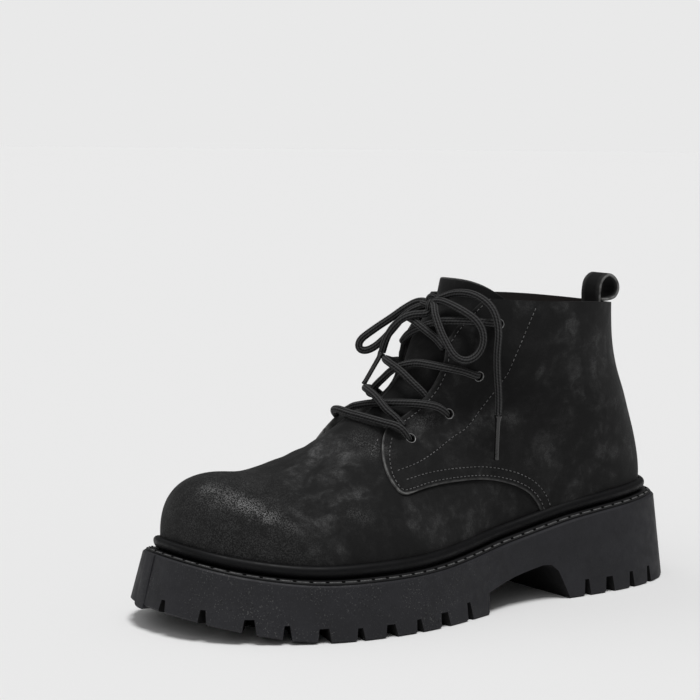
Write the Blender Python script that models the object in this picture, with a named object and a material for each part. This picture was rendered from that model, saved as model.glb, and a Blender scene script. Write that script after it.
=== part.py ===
"""A black lace-up ankle boot of the derby kind, for the left foot, standing on a thick cleated sole.

Every length is in metres. In the tables x runs forward to the toe, y outward (to the wearer's left)
from the heel's centre line, and z up from the floor. add_object() moves every piece so that the
origin lies under the middle of the sole's bounding box.
"""

import bpy
import bmesh
import math
import numpy as np

# ---- driving dimensions -------------------------------------------------------------------------

WALL = 0.0020               # upper leather with its lining
FEATHER_INSET = 0.0085      # from the sole's top edge in to the upper's outer face
WALL_FLARE = 0.0054         # how far the sole's side runs out on its way down
TOE_FLARE = 0.0003          # and how much further at the toe
TOE_FLARE_FROM_X = 0.090
TOE_FLARE_RUN = 0.055
FEATHER_BASE = 0.0019       # the upper's foot above the sole's edge, on top of the welt
CUSHION = 0.0045            # insole thickness
INSOLE_CLEARANCE = 0.0012   # between the insole and the upper's inner face
COLLAR_FRONT_Z = 0.1520     # collar height in front, at the side and at the back
COLLAR_SIDE_Z = 0.1490
COLLAR_BACK_Z = 0.1450
COLLAR_CENTRE_X = -0.0665
COLLAR_HALF_LENGTH = 0.0525
COLLAR_HALF_WIDTH = 0.0355
TONGUE_HALF_WIDTH = 0.0350
TONGUE_THICKNESS = 0.0022
TONGUE_CLEARANCE = 0.0014   # between the upper's inner face and the tongue
LACE_DIAMETER = 0.0038
AGLET_DIAMETER = 0.0026

# Edge of the sole's top face, once round: heel, outer side, toe, inner side.
OUTLINE = [
    # x, y
    (-0.1489, 0.0005), (-0.1431, 0.0213), (-0.1211, 0.0335), (-0.0898, 0.0388), (-0.0600, 0.0393),
    (-0.0305, 0.0401), (-0.0015, 0.0486), (0.0288, 0.0571), (0.0576, 0.0597), (0.0852, 0.0562),
    (0.1121, 0.0444), (0.1331, 0.0273), (0.1427, 0.0083), (0.1438, -0.0087), (0.1411, -0.0255),
    (0.1278, -0.0400), (0.1067, -0.0469), (0.0804, -0.0489), (0.0522, -0.0466), (0.0201, -0.0405),
    (-0.0150, -0.0360), (-0.0550, -0.0349), (-0.0950, -0.0369), (-0.1262, -0.0312), (-0.1430, -0.0181),
]

# Height of that edge above the floor, from heel to toe.
EDGE_HEIGHT = [
    # x, z
    (-0.155, 0.0450), (-0.120, 0.0431), (-0.075, 0.0391), (-0.030, 0.0310), (0.015, 0.0260),
    (0.060, 0.0250), (0.100, 0.0263), (0.125, 0.0302), (0.152, 0.0374),
]
TOE_SPRING = 0.0136         # lift of the sole's bottom at the tip
TOE_SPRING_FROM_X = 0.0854
TOE_SPRING_TO_X = 0.152
TOE_SPRING_POWER = 1.6

# Rows of the upper, from the tip of the toe back to the heel. Each row is one curve from the
# feather edge (foot_x) up to the ridge of the instep or, behind it, to the collar. ridge_y is the
# ridge's own place across the foot, around is how far round the collar from its front (degrees).
# side is the length of the curve's handle at its foot, which leans outward by lean. forward, out
# and down are the handle at its top end.
ROWS = [
    # foot_x, top_x, ridge_y, top_z, around, side, lean, forward, out, down
    (None, 0.105, -0.0080, 0.0722, None, 0.0245, 0.12, 0.0270, 0.0000, 0.0005),
    (0.133, 0.102, -0.0080, 0.0722, None, 0.0245, 0.12, 0.0238, 0.0138, 0.0008),
    (0.122, 0.097, -0.0075, 0.0722, None, 0.0240, 0.12, 0.0153, 0.0234, 0.0008),
    (0.106, 0.089, -0.0070, 0.0722, None, 0.0230, 0.12, 0.0058, 0.0284, 0.0008),
    (0.086, 0.078, -0.0060, 0.0734, None, 0.0230, 0.12, 0.0000, 0.0300, 0.0006),
    (0.064, 0.065, -0.0050, 0.0766, None, 0.0250, 0.12, 0.0000, 0.0310, 0.0006),
    (0.042, 0.052, -0.0040, 0.0824, None, 0.0280, 0.10, 0.0000, 0.0300, 0.0012),
    (0.020, 0.0405, -0.0035, 0.0900, None, 0.0310, 0.07, 0.0000, 0.0282, 0.0030),
    (0.000, 0.030, -0.0030, 0.0987, None, 0.0340, 0.05, 0.0000, 0.0265, 0.0055),
    (-0.020, 0.0205, -0.0025, 0.1080, None, 0.0370, 0.04, 0.0008, 0.0255, 0.0085),
    (-0.038, 0.0115, -0.0020, 0.1180, None, 0.0410, 0.04, 0.0015, 0.0258, 0.0125),
    (-0.052, 0.003, -0.0010, 0.1285, None, 0.0440, 0.04, 0.0022, 0.0270, 0.0178),
    (-0.063, -0.006, 0.0000, 0.1405, None, 0.0460, 0.05, 0.0035, 0.0285, 0.0250),
    (-0.071, None, 0.0000, None, 0, 0.0470, 0.06, 0.0050, 0.0290, 0.0335),
    (-0.079, None, 0.0000, None, 25, 0.0460, 0.07, 0.0062, 0.0155, 0.0345),
    (-0.088, None, 0.0005, None, 50, 0.0440, 0.08, 0.0068, 0.0062, 0.0385),
    (-0.100, None, 0.0010, None, 80, 0.0420, 0.06, 0.0035, 0.0020, 0.0435),
    (-0.113, None, 0.0010, None, 112, 0.0400, 0.05, 0.0000, 0.0014, 0.0460),
    (-0.127, None, 0.0010, None, 145, 0.0370, 0.05, -0.0023, 0.0014, 0.0470),
    (None, None, 0.0010, None, 180, 0.0340, 0.05, -0.0029, 0.0000, 0.0480),
]
ANKLE_FROM_Z = 0.098        # above this the upper turns into an oval tube, which is complete
ANKLE_TO_Z = 0.132          # at this height
COLLAR_ROW = 13             # the row that ends at the collar's front
THROAT_ROW = 7.3            # where the throat opens, counted in rows from the toe
THROAT_GROWS = 0.7          # rows over which its round foot reaches its full width

# Half the throat's width: the way along a row from the ridge to the edge of a facing.
THROAT = [
    # row, distance
    (7.3, 0.0190), (8.2, 0.0205), (9.3, 0.0230), (10.5, 0.0255), (11.5, 0.0270), (12.3, 0.0270),
    (13.5, 0.0250), (19.0, 0.0250),
]
COLLAR_THROAT = 0.0250      # the same at the collar's edge
TONGUE_ROW = 6.3            # where the tongue begins, under the vamp


# ---- curves ------------------------------------------------------------------------------------------

def catmull_rom(knots, values, at):
    """Smooth curve through values at knots; each stretch looks only at its four nearest knots."""
    knots, values = np.asarray(knots, float), np.asarray(values, float)
    slopes = np.empty_like(values)
    step = np.diff(knots)
    rise = np.diff(values, axis=0) / step.reshape(-1, *[1] * (values.ndim - 1))
    before = (step[1:] / (step[1:] + step[:-1])).reshape(-1, *[1] * (values.ndim - 1))
    slopes[1:-1] = rise[:-1] * before + rise[1:] * (1 - before)
    slopes[0], slopes[-1] = rise[0], rise[-1]
    at = np.clip(np.asarray(at, float), knots[0], knots[-1])
    i = np.clip(np.searchsorted(knots, at, side="right") - 1, 0, len(step) - 1)
    span = step[i]
    u = (at - knots[i]) / span
    shape = (-1,) + (1,) * (values.ndim - 1)
    u, span = u.reshape(shape), span.reshape(shape)
    return (values[i] * (1 + 2 * u) * (1 - u) ** 2 + slopes[i] * span * u * (1 - u) ** 2
            + values[i + 1] * u * u * (3 - 2 * u) + slopes[i + 1] * span * u * u * (u - 1))


def closed_curve(knots, values, period, at):
    """catmull_rom for a closed loop."""
    knots, values = np.asarray(knots, float), np.asarray(values, float)
    knots = np.concatenate([knots[-3:] - period, knots, knots[:3] + period])
    values = np.concatenate([values[-3:], values, values[:3]])
    return catmull_rom(knots, values, np.mod(at, period))


def softened(loop, width):
    """A closed run of samples, averaged with a bell-shaped weight of this many samples each way."""
    reach = np.arange(-3 * width, 3 * width + 1)
    weight = np.exp(-0.5 * (reach / width) ** 2)
    return sum(w * np.roll(loop, r, axis=0) for w, r in zip(weight / weight.sum(), reach))


# ---- the sole's outline ---------------------------------------------------------------------------

FINE = 1440                 # samples once round
OUTLINE_SOFTENING = 14      # samples over which the outline's corners are rounded


def fine_outline():
    """The outline as evenly spaced points from the heel round by the outer side, with its normals."""
    corners = np.array(OUTLINE)
    chord = np.linalg.norm(np.roll(corners, -1, axis=0) - corners, axis=1)
    knots = np.concatenate([[0], np.cumsum(chord)[:-1]])
    loop = closed_curve(knots, corners, chord.sum(), np.linspace(0, chord.sum(), FINE, endpoint=False))
    loop = softened(loop, OUTLINE_SOFTENING)
    ends = np.vstack([loop, loop[:1]])
    length = np.concatenate([[0], np.cumsum(np.linalg.norm(np.diff(ends, axis=0), axis=1))])
    even = np.linspace(0, length[-1], FINE, endpoint=False)
    loop = np.column_stack([np.interp(even, length, ends[:, i]) for i in range(2)])
    along = np.roll(loop, -1, axis=0) - np.roll(loop, 1, axis=0)
    along /= np.linalg.norm(along, axis=1)[:, None]
    return loop, np.column_stack([-along[:, 1], along[:, 0]])


EDGE, OUTWARD = fine_outline()
TIP = int(np.argmax(EDGE[:, 0]))      # sample at the tip of the toe
HEEL = int(np.argmin(np.roll(EDGE[:, 0], FINE // 2))) - FINE // 2


def edge_height(x):
    x_knots, z_knots = np.array(EDGE_HEIGHT).T
    return catmull_rom(x_knots, z_knots, np.atleast_1d(x))


def toe_lift(x):
    run = np.clip((np.asarray(x) - TOE_SPRING_FROM_X) / (TOE_SPRING_TO_X - TOE_SPRING_FROM_X), 0, None)
    return TOE_SPRING * run ** TOE_SPRING_POWER


def sample_places(count):
    """Places on the fine outline for a loop of 2 * count points, heel to tip and back.

    The place with index i on the outer side faces the one with index -i on the inner side.
    """
    share = np.linspace(0, 1, count + 1)
    outer = HEEL + share * (TIP - HEEL)
    inner = TIP + share * (HEEL + FINE - TIP)
    return np.concatenate([outer[:-1], inner[:-1]])


def ring(places, inset, above_edge=None, height=None):
    """Points of the outline moved in by inset, at a height above the sole's edge or the floor."""
    at = np.mod(places, FINE)
    i = np.floor(at).astype(int)
    share = (at - i)[:, None]
    edge = EDGE[i] * (1 - share) + EDGE[(i + 1) % FINE] * share
    outward = OUTWARD[i] * (1 - share) + OUTWARD[(i + 1) % FINE] * share
    flat = edge - outward * np.reshape(inset, (-1, 1))
    z = edge_height(flat[:, 0]) + above_edge if height is None else height
    return np.column_stack([flat, np.broadcast_to(z, len(flat))])


def flare(places):
    """How far the bottom edge stands outside the top edge: a little more round the toe."""
    x = ring(places, 0.0, height=0.0)[:, 0]
    return WALL_FLARE + TOE_FLARE * np.clip((x - TOE_FLARE_FROM_X) / TOE_FLARE_RUN, 0, 1) ** 2


def find_origin():
    """The point of the floor under the middle of the sole's bounding box."""
    reach = ring(np.arange(FINE), -flare(np.arange(FINE)), height=0.0)
    middle = (reach.min(axis=0) + reach.max(axis=0)) / 2
    return np.array([middle[0], middle[1], 0.0])


ORIGIN = find_origin()


# ---- the upper's surface -----------------------------------------------------------------------------

LAST_ROW = len(ROWS) - 1
WIDEST_ROW = 16             # where the ankle's oval is widest
OVAL_POWER = 2.1            # 2 is an ellipse
PER_ROW = 24


def collar_point(around):
    """Place of the collar's edge, this many degrees round from its front, on the outer side."""
    angle = math.radians(around)
    x = COLLAR_CENTRE_X + COLLAR_HALF_LENGTH * math.cos(angle)
    y = COLLAR_HALF_WIDTH * math.sin(angle)
    end = COLLAR_FRONT_Z if around < 90 else COLLAR_BACK_Z
    return x, y, COLLAR_SIDE_Z + (end - COLLAR_SIDE_Z) * abs(math.cos(angle)) ** 1.5


def foot_place(row, side):
    """Where a row meets the feather edge, as a place on the fine outline."""
    foot_x = ROWS[row][0]
    if row == 0:
        return float(TIP)
    if row == LAST_ROW:
        return float(HEEL if side > 0 else HEEL + FINE)
    places = np.arange(HEEL, TIP + 1) if side > 0 else np.arange(HEEL + FINE, TIP - 1, -1)
    x = ring(places.astype(float), FEATHER_INSET, height=0.0)[:, 0]
    return float(np.interp(foot_x, x, places))


def surface_controls():
    """Every row's four control points, sampled all round: outer side toe to heel, inner side back."""
    knots, columns = [], []
    for side, rows in ((1, range(0, LAST_ROW + 1)), (-1, range(LAST_ROW - 1, 0, -1))):
        for row in rows:
            _, top_x, ridge_y, top_z, around, side_handle, lean, forward, out, down = ROWS[row]
            half_width = 0.0
            if around is not None:
                top_x, half_width, top_z = collar_point(around)
            place = foot_place(row, side)
            # Counted from the tip: falling on the outer side and rising on the inner side.
            travel = TIP - place if side > 0 else TIP + FINE - place
            knots.append(row if side > 0 else 2 * LAST_ROW - row)
            columns.append([travel, top_x, ridge_y + half_width * side, top_z, side_handle, lean,
                            forward, out * side, -down])
    period = 2 * LAST_ROW
    at = np.arange(period * PER_ROW) / PER_ROW
    columns = np.array(columns)
    travel = columns[:, 0]
    travel_loop = closed_travel(np.array(knots, float), travel, period, at)
    rest = softened(closed_curve(knots, columns[:, 1:], period, at), PER_ROW // 3)
    place = TIP - travel_loop
    foot = ring(place, FEATHER_INSET, above_edge=FEATHER_BASE)
    outward = foot - ring(place, FEATHER_INSET + 0.001, above_edge=FEATHER_BASE)
    outward /= np.linalg.norm(outward, axis=1)[:, None]
    top, side_handle, lean, leave = rest[:, :3], rest[:, 3:4], rest[:, 4:5], rest[:, 5:]
    return foot, foot + (outward * lean + np.array([0, 0, 1.0])) * side_handle, top + leave, top


def closed_travel(knots, travel, period, at):
    """The feather edge's own travel round the outline, which grows by one whole turn."""
    knots = np.concatenate([knots[-3:] - period, knots, knots[:3] + period])
    travel = np.concatenate([travel[-3:] - FINE, travel, travel[:3] + FINE])
    dense = catmull_rom(knots, travel, at)
    drift = at / period * FINE
    return softened(dense - drift, PER_ROW // 3) + drift


class Upper:
    """The upper's outer face as a surface: row counts from toe to heel, rise runs from 0 to 1."""

    def __init__(self):
        self.controls = surface_controls()
        fine = np.linspace(0, 1, 200)
        ridge = np.vstack([self.curve(row, 1, [1.0]) for row in np.linspace(0, COLLAR_ROW, 200)])
        back, widest = self.curve(LAST_ROW, 1, fine), self.curve(WIDEST_ROW, 1, fine)
        self.heights = np.linspace(ANKLE_FROM_Z, COLLAR_FRONT_Z, 60)
        self.front_x, self.back_x, self.half_width = [
            np.interp(self.heights, line[:, 2], line[:, axis])
            for line, axis in ((ridge, 0), (back, 0), (widest, 1))]
        self.rows = np.linspace(COLLAR_ROW, LAST_ROW, 281)
        self.away = {}
        for side in (1, -1):
            edge = np.vstack([self.points(row, side, [1.0]) for row in self.rows])
            steps = np.linalg.norm(np.diff(edge, axis=0), axis=1)
            self.away[side] = np.concatenate([[0.0], np.cumsum(steps)])

    def row(self, row, side):
        loop = np.mod(row if side > 0 else 2 * LAST_ROW - row, 2 * LAST_ROW) * PER_ROW
        i = int(np.floor(loop))
        share = loop - i
        count = len(self.controls[0])
        return [c[i % count] * (1 - share) + c[(i + 1) % count] * share for c in self.controls]

    def curve(self, row, side, rise):
        a, b, c, d = self.row(row, side)
        u = np.asarray(rise, float)[:, None]
        return a * (1 - u) ** 3 + b * 3 * u * (1 - u) ** 2 + c * 3 * u * u * (1 - u) + d * u ** 3

    def points(self, row, side, rise):
        """The row's curve, drawn on to the ankle's oval as far as it reaches up into it."""
        line = self.curve(row, side, rise)
        front, back, half_width = [np.interp(line[:, 2], self.heights, values)
                                   for values in (self.front_x, self.back_x, self.half_width)]
        across = np.column_stack([line[:, 0] - (front + back) / 2, line[:, 1]])
        share = np.abs(across / np.column_stack([(front - back) / 2, half_width])) ** OVAL_POWER
        reach = share.sum(axis=1) ** (1 / OVAL_POWER)
        rise = np.clip((line[:, 2] - ANKLE_FROM_Z) / (ANKLE_TO_Z - ANKLE_FROM_Z), 0, 1)
        pull = rise * rise * (3 - 2 * rise) * (1 / np.maximum(reach, 0.5) - 1)
        line[:, :2] += across * pull[:, None]
        return line

    def collar_row(self, side, distance):
        """The row that meets the collar at this distance round from its front."""
        return float(np.interp(distance, self.away[side], self.rows))

    def rise_at(self, row, side, distance):
        """The rise at which a row is this far from the middle line of the instep."""
        reach = distance - float(np.interp(row, self.rows, self.away[side]))
        if reach <= 0:
            return 1.0
        fine = np.linspace(0, 1, 400)
        steps = np.linalg.norm(np.diff(self.points(row, side, fine), axis=0), axis=1)
        left = np.concatenate([np.cumsum(steps[::-1])[::-1], [0.0]])
        return float(np.interp(-reach, -left, fine))

    def place(self, row, side, distance):
        """The point this far from the middle line along a row, and the outward normal there."""
        def at(a_row, a_distance):
            return self.points(a_row, side, [self.rise_at(a_row, side, a_distance)])[0]
        step = 0.0005
        along = at(row + 0.02, distance) - at(row - 0.02, distance)
        across = at(row, distance + step) - at(row, distance - step)
        normal = np.cross(along, across) * -side
        return at(row, distance), normal / np.linalg.norm(normal)


def throat_half_gap(row):
    """Half the width of the throat: round at its foot, then as the table says."""
    opened = min(max((row - THROAT_ROW) / THROAT_GROWS, 0.0), 1.0)
    rows, distances = np.array(THROAT).T
    return float(np.interp(row, rows, distances)) * math.sqrt(1 - (1 - opened) ** 2)


# ---- meshes ------------------------------------------------------------------------------------------

def material(name, colour, roughness, metallic=0.0):
    made = bpy.data.materials.new(name)
    made.use_nodes = True
    shader = made.node_tree.nodes["Principled BSDF"]
    shader.inputs["Base Color"].default_value = (*colour, 1.0)
    shader.inputs["Roughness"].default_value = roughness
    shader.inputs["Metallic"].default_value = metallic
    return made


def add_object(name, points, faces, finish):
    """One object from points in the tables' frame, moved to stand over the origin."""
    mesh = bpy.data.meshes.new(name)
    mesh.from_pydata((np.asarray(points) - ORIGIN).tolist(), [], [list(map(int, f)) for f in faces])
    shell = bmesh.new()
    shell.from_mesh(mesh)
    bmesh.ops.remove_doubles(shell, verts=shell.verts, dist=1e-6)
    bmesh.ops.recalc_face_normals(shell, faces=shell.faces)
    shell.to_mesh(mesh)
    shell.free()
    mesh.shade_smooth()
    mesh.set_sharp_from_angle(angle=math.radians(40))
    made = bpy.data.objects.new(name, mesh)
    if finish is not None:
        mesh.materials.append(finish)
    bpy.context.scene.collection.objects.link(made)
    return made


def loft_faces(rings, size, closed=False):
    """Quads between rings of the same number of points."""
    faces = []
    for j in range(rings if closed else rings - 1):
        a, b = j * size, (j + 1) % rings * size
        faces += [(a + i, a + (i + 1) % size, b + (i + 1) % size, b + i) for i in range(size)]
    return faces


def ladder_faces(start, count):
    """Fills a loop of 2 * count points with rungs from its outer side to its inner side."""
    size = 2 * count
    faces = [(start, start + 1, start + size - 1)]
    for i in range(1, count - 1):
        faces.append((start + i, start + i + 1, start + size - i - 1, start + size - i))
    faces.append((start + count - 1, start + count, start + count + 1))
    return faces


def plate(name, rings, count, finish):
    """A closed body from a stack of rings, its two ends filled with rungs."""
    faces = loft_faces(len(rings), 2 * count)
    faces += ladder_faces(0, count) + ladder_faces((len(rings) - 1) * 2 * count, count)
    return add_object(name, np.vstack(rings), faces, finish)


def hoop(name, profile, count, finish):
    """A closed ring round the shoe, from a profile of (inset, height above the sole's edge)."""
    places = sample_places(count)
    rings = [ring(places, inset, above_edge=height) for inset, height in profile]
    return add_object(name, np.vstack(rings), loft_faces(len(rings), 2 * count, closed=True), finish)


def cutter(name, points, faces):
    made = add_object(name, points, faces, None)
    made.hide_render = True
    made.display_type = "WIRE"
    return made


def boolean(target, operation, other, solver="EXACT"):
    step = target.modifiers.new(other.name, "BOOLEAN")
    step.operation = operation
    step.solver = solver
    step.object = other


def prism(base, top):
    """A closed body between two polygons with the same number of corners."""
    n = len(base)
    faces = [tuple(range(n)), tuple(range(2 * n - 1, n - 1, -1))]
    faces += [(i, (i + 1) % n, n + (i + 1) % n, n + i) for i in range(n)]
    return np.vstack([base, top]), faces


def joined(pieces):
    """Several (points, faces) as one."""
    points, faces, start = [], [], 0
    for piece_points, piece_faces in pieces:
        points.append(piece_points)
        faces += [tuple(start + i for i in face) for face in piece_faces]
        start += len(piece_points)
    return np.vstack(points), faces


# ---- outsole: one moulded unit with the heel, the arch and the cleats ---------------------------

SOLE_COUNT = 48
CHANNEL_COUNT = 28
END_CUTS = (-36, 0, 36)             # cuts round the heel, as places from its middle
END_CUT_DEPTH = 0.0088
PLATFORM_INSET = 0.0150
PLATFORM_HEIGHT = 0.0010
ARCH = [
    # x, z of the gap between heel and forefoot, seen from the side
    (-0.0061, -0.010), (-0.0095, 0.0103), (-0.030, 0.0146), (-0.0500, 0.0182), (-0.0553, 0.0177),
    (-0.0592, 0.0145), (-0.0620, 0.0085), (-0.0662, -0.001), (-0.0690, -0.010),
]
ARCH_REACH = 0.080                  # how far its cutter reaches to each side
CLEAT_CUTS = [
    # x of the cut on the outer side, x on the inner side, True where it is a wide one, depth
    (0.1428, 0.1385, False, 0.0058), (0.1348, 0.1270, False, 0.0064), (0.1205, 0.1125, True, 0.0066),
    (0.1064, 0.0975, False, 0.0066), (0.0914, 0.0815, True, 0.0066), (0.0750, 0.0655, False, 0.0060),
    (0.0593, 0.0500, True, 0.0060), (0.0433, 0.0345, False, 0.0063), (0.0269, 0.0185, True, 0.0070),
    (0.0088, 0.0030, False, 0.0086), (-0.0774, -0.0774, False, 0.0084),
    (-0.0928, -0.0928, True, 0.0080), (-0.1092, -0.1092, False, 0.0084), (-0.1243, -0.1243, False, 0.0088),
]
NARROW_CUT = (0.0045, 0.0025)       # width at the ground and at the cut's roof
WIDE_CUT = (0.0068, 0.0045)
CUT_INSETS = (-0.0120, 0.0200)      # where a cut starts and ends, from the sole's top edge
OVERCUT = 0.0040                    # how far the cutters reach below the ground
CHANNEL = (0.0185, 0.0225)          # insets of the groove behind the cleats
CHANNEL_DEPTH = 0.0045
CROSS_GROOVES = (0.112, 0.086, 0.060, 0.034, -0.108)    # x of the grooves across the middle
CROSS_GROOVE_WIDTH = 0.0042
CROSS_GROOVE_DEPTH = 0.0038
FOREFOOT_CHANNEL = (0.001, 0.004)   # x of the groove's ends on its outer wall, and the step to its inner
HEEL_CHANNEL = (-0.076, -0.004)


def outline_place(x, side):
    """The place where the outline passes this x on the outer (1) or inner (-1) side."""
    places = np.arange(HEEL, TIP + 1) if side > 0 else np.arange(HEEL + FINE, TIP - 1, -1)
    return float(np.interp(x, ring(places.astype(float), 0.0, height=0.0)[:, 0], places))


def cleat_cut(place, widths, depth):
    """A wedge that cuts one gap between two cleats, square to the outline."""
    outer, inner = ring([place, place], CUT_INSETS, height=0.0)
    inward = (inner - outer) / np.linalg.norm(inner - outer)
    along = np.array([-inward[1], inward[0], 0.0])
    lift = float(toe_lift(ring([place], 0.0, height=0.0)[0, 0]))
    ground, roof = widths[0] / 2, widths[1] / 2
    section = [
        # along the outline, height
        (-ground, lift - OVERCUT), (ground, lift - OVERCUT), (ground, lift),
        (roof, lift + depth), (-roof, lift + depth), (-ground, lift),
    ]
    ends = [np.array([end + along * way + (0, 0, z) for way, z in section]) for end in (outer, inner)]
    return prism(*ends)


def channel_cut(ends, round_heel):
    """A closed groove behind the cleats of the forefoot or the heel."""
    first_x, step = ends

    def loop(inset, x):
        start = outline_place(x, 1)
        end = outline_place(x, -1) - (FINE if round_heel else 0)
        return ring(np.linspace(start, end, CHANNEL_COUNT), inset, height=0.0)
    wide = loop(CHANNEL[0], first_x)
    narrow = loop(CHANNEL[1], first_x + step)
    low = [np.column_stack([r[:, :2], toe_lift(r[:, 0]) - OVERCUT]) for r in (wide, narrow)]
    high = [np.column_stack([r[:, :2], toe_lift(r[:, 0]) + CHANNEL_DEPTH]) for r in (wide, narrow)]
    return np.vstack([low[0], high[0], high[1], low[1]]), loft_faces(4, CHANNEL_COUNT, closed=True)


def cross_groove(x):
    """A straight groove across the middle, from channel to channel."""
    middle = (CHANNEL[0] + CHANNEL[1]) / 2
    ends = [ring([outline_place(x, side)], middle, height=0.0)[0, 1] for side in (1, -1)]
    lift = float(toe_lift(x))
    half = CROSS_GROOVE_WIDTH / 2
    corners = [(x - half, lift - OVERCUT), (x + half, lift - OVERCUT),
               (x + half, lift + CROSS_GROOVE_DEPTH), (x - half, lift + CROSS_GROOVE_DEPTH)]
    return prism(*[np.array([(cx, y, cz) for cx, cz in corners]) for y in ends])


def build_outsole(finish):
    places = sample_places(SOLE_COUNT)
    x = ring(places, 0.0, height=0.0)[:, 0]
    lift = toe_lift(x)
    outer = -flare(places)
    sole = plate("outsole", [
        ring(places, PLATFORM_INSET, above_edge=PLATFORM_HEIGHT),
        ring(places, PLATFORM_INSET, above_edge=0.0),
        ring(places, 0.0008, above_edge=0.0),
        ring(places, 0.0, above_edge=-0.0008),
        ring(places, outer, height=lift + 0.0010),
        ring(places, outer + 0.0008, height=lift),
    ], SOLE_COUNT, finish)
    arch = [np.array([(ax, y, az) for ax, az in ARCH]) for y in (-ARCH_REACH, ARCH_REACH)]
    boolean(sole, "DIFFERENCE", cutter("arch_cutter", *prism(*arch)))
    cuts = []
    for outer_x, inner_x, wide, depth in CLEAT_CUTS:
        widths = WIDE_CUT if wide else NARROW_CUT
        cuts.append(cleat_cut(outline_place(outer_x, 1), widths, depth))
        cuts.append(cleat_cut(outline_place(inner_x, -1), widths, depth))
    for share in END_CUTS:
        cuts.append(cleat_cut(HEEL + share, NARROW_CUT, END_CUT_DEPTH))
    boolean(sole, "DIFFERENCE", cutter("cleat_cutter", *joined(cuts)))
    channels = [channel_cut(FOREFOOT_CHANNEL, False), channel_cut(HEEL_CHANNEL, True)]
    boolean(sole, "DIFFERENCE", cutter("channel_cutter", *joined(channels)))
    grooves = [cross_groove(at) for at in CROSS_GROOVES]
    boolean(sole, "DIFFERENCE", cutter("groove_cutter", *joined(grooves)), "MANIFOLD")
    return sole


# ---- welt, rand and insole ----------------------------------------------------------------------------

WELT_PROFILE = [
    # inset, height above the sole's edge
    (0.0006, 0.0003), (0.0008, 0.0010), (0.0018, 0.0015), (0.0035, 0.0016), (0.0147, 0.0016),
    (0.0147, 0.0003),
]
RAND_CENTRE = (0.0077, 0.0050)      # inset and height of the roll's middle
RAND_RADIUS = (0.0028, 0.0030)
RAND_SIDES = 6


def rand_profile():
    """A half round roll with its flat back to the upper."""
    angles = np.linspace(-math.pi / 2, math.pi / 2, RAND_SIDES)
    inset, height = RAND_CENTRE
    return [(inset - RAND_RADIUS[0] * math.cos(a), height + RAND_RADIUS[1] * math.sin(a)) for a in angles]


def build_insole(finish):
    places = sample_places(SOLE_COUNT)
    inset = FEATHER_INSET + WALL + INSOLE_CLEARANCE
    top = FEATHER_BASE + CUSHION
    return plate("insole", [
        ring(places, inset, above_edge=FEATHER_BASE), ring(places, inset, above_edge=top - 0.0008),
        ring(places, inset + 0.0008, above_edge=top),
    ], SOLE_COUNT, finish)


# ---- upper --------------------------------------------------------------------------------------------

RISES = np.array([0, 0.05, 0.14, 0.25, 0.37, 0.49, 0.60, 0.71, 0.82, 0.92, 1.0])    # up each row


def upper_rows(side):
    """Row numbers of the mesh, with the throat's foot and its top corner among them."""
    corner = SURFACE.collar_row(side, COLLAR_THROAT)
    front = np.concatenate([[0, 0.5, 1, 1.5, 2], np.arange(2.7, THROAT_ROW - 0.3, 0.75)])
    throat = THROAT_ROW + np.array([0, 0.06, 0.25, 0.7])
    middle = np.linspace(THROAT_ROW + 1.4, corner, 9)
    back = np.linspace(corner, LAST_ROW, 9)[1:]
    return np.concatenate([front, throat, middle, back])


def edge_rise(row, side):
    """Where a row ends: at the ridge, at the facing's edge or at the collar."""
    return SURFACE.rise_at(row, side, throat_half_gap(row)) if row > THROAT_ROW else 1.0


def grid_normals(points, faces):
    """Area-weighted normals at the points of a mesh."""
    normals = np.zeros_like(points)
    for a, b, c, d in faces:
        across = np.cross(points[c] - points[a], points[d] - points[b])
        for corner in (a, b, c, d):
            normals[corner] += across
    return normals / np.maximum(np.linalg.norm(normals, axis=1), 1e-12)[:, None]


def merged(points, faces):
    """The same mesh with points that coincide made one, and the faces that collapse dropped."""
    keys, first, index = np.unique(np.round(points, 7), axis=0, return_index=True, return_inverse=True)
    index = index.reshape(-1)
    kept = []
    for face in faces:
        corners = list(dict.fromkeys(int(index[i]) for i in face))
        if len(corners) > 2:
            kept.append(tuple(corners))
    return points[first], kept


def open_edges(faces):
    """Edges that only one face has, in that face's direction."""
    seen = {}
    for face in faces:
        for a, b in zip(face, face[1:] + face[:1]):
            seen[(a, b)] = True
    return [(a, b) for a, b in seen if (b, a) not in seen]


def shell_with_wall(points, faces, outer_depth, inner_depth):
    """A closed wall between two copies of a surface, each set in along its normals."""
    quads = [f if len(f) == 4 else f + (f[-1],) for f in faces]
    normals = grid_normals(points, quads)
    outer = points - normals * outer_depth
    inner = points - normals * inner_depth
    n = len(points)
    closed = list(faces) + [tuple(n + i for i in reversed(face)) for face in faces]
    closed += [(b, a, n + a, n + b) for a, b in open_edges(faces)]
    return np.vstack([outer, inner]), closed


def upper_surface():
    """Outer face of the upper as one open mesh: outer side, then inner side, merged where they meet."""
    points, faces = [], []
    size = len(RISES)
    for side in (1, -1):
        start = len(points)
        rows = upper_rows(side)
        for row in rows:
            shortened = 1 - (1 - edge_rise(row, side)) * RISES ** 1.5
            points += list(SURFACE.points(row, side, RISES * shortened))
        for i in range(len(rows) - 1):
            for j in range(size - 1):
                a = start + i * size + j
                face = (a, a + 1, a + size + 1, a + size)
                faces.append(face[::-1] if side > 0 else face)
    return merged(np.array(points), faces)


def build_upper(finish):
    points, faces = upper_surface()
    return add_object("upper", *shell_with_wall(points, faces, 0.0, WALL), finish)


# ---- tongue --------------------------------------------------------------------------------------------

TONGUE_COLUMNS = 6          # on each side of its middle
TONGUE_SECTIONS = 12
TONGUE_TOP = 0.0090         # how far it stands above the collar in the middle
TONGUE_LEAN = (-0.25, 0.0, 0.968)


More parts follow.
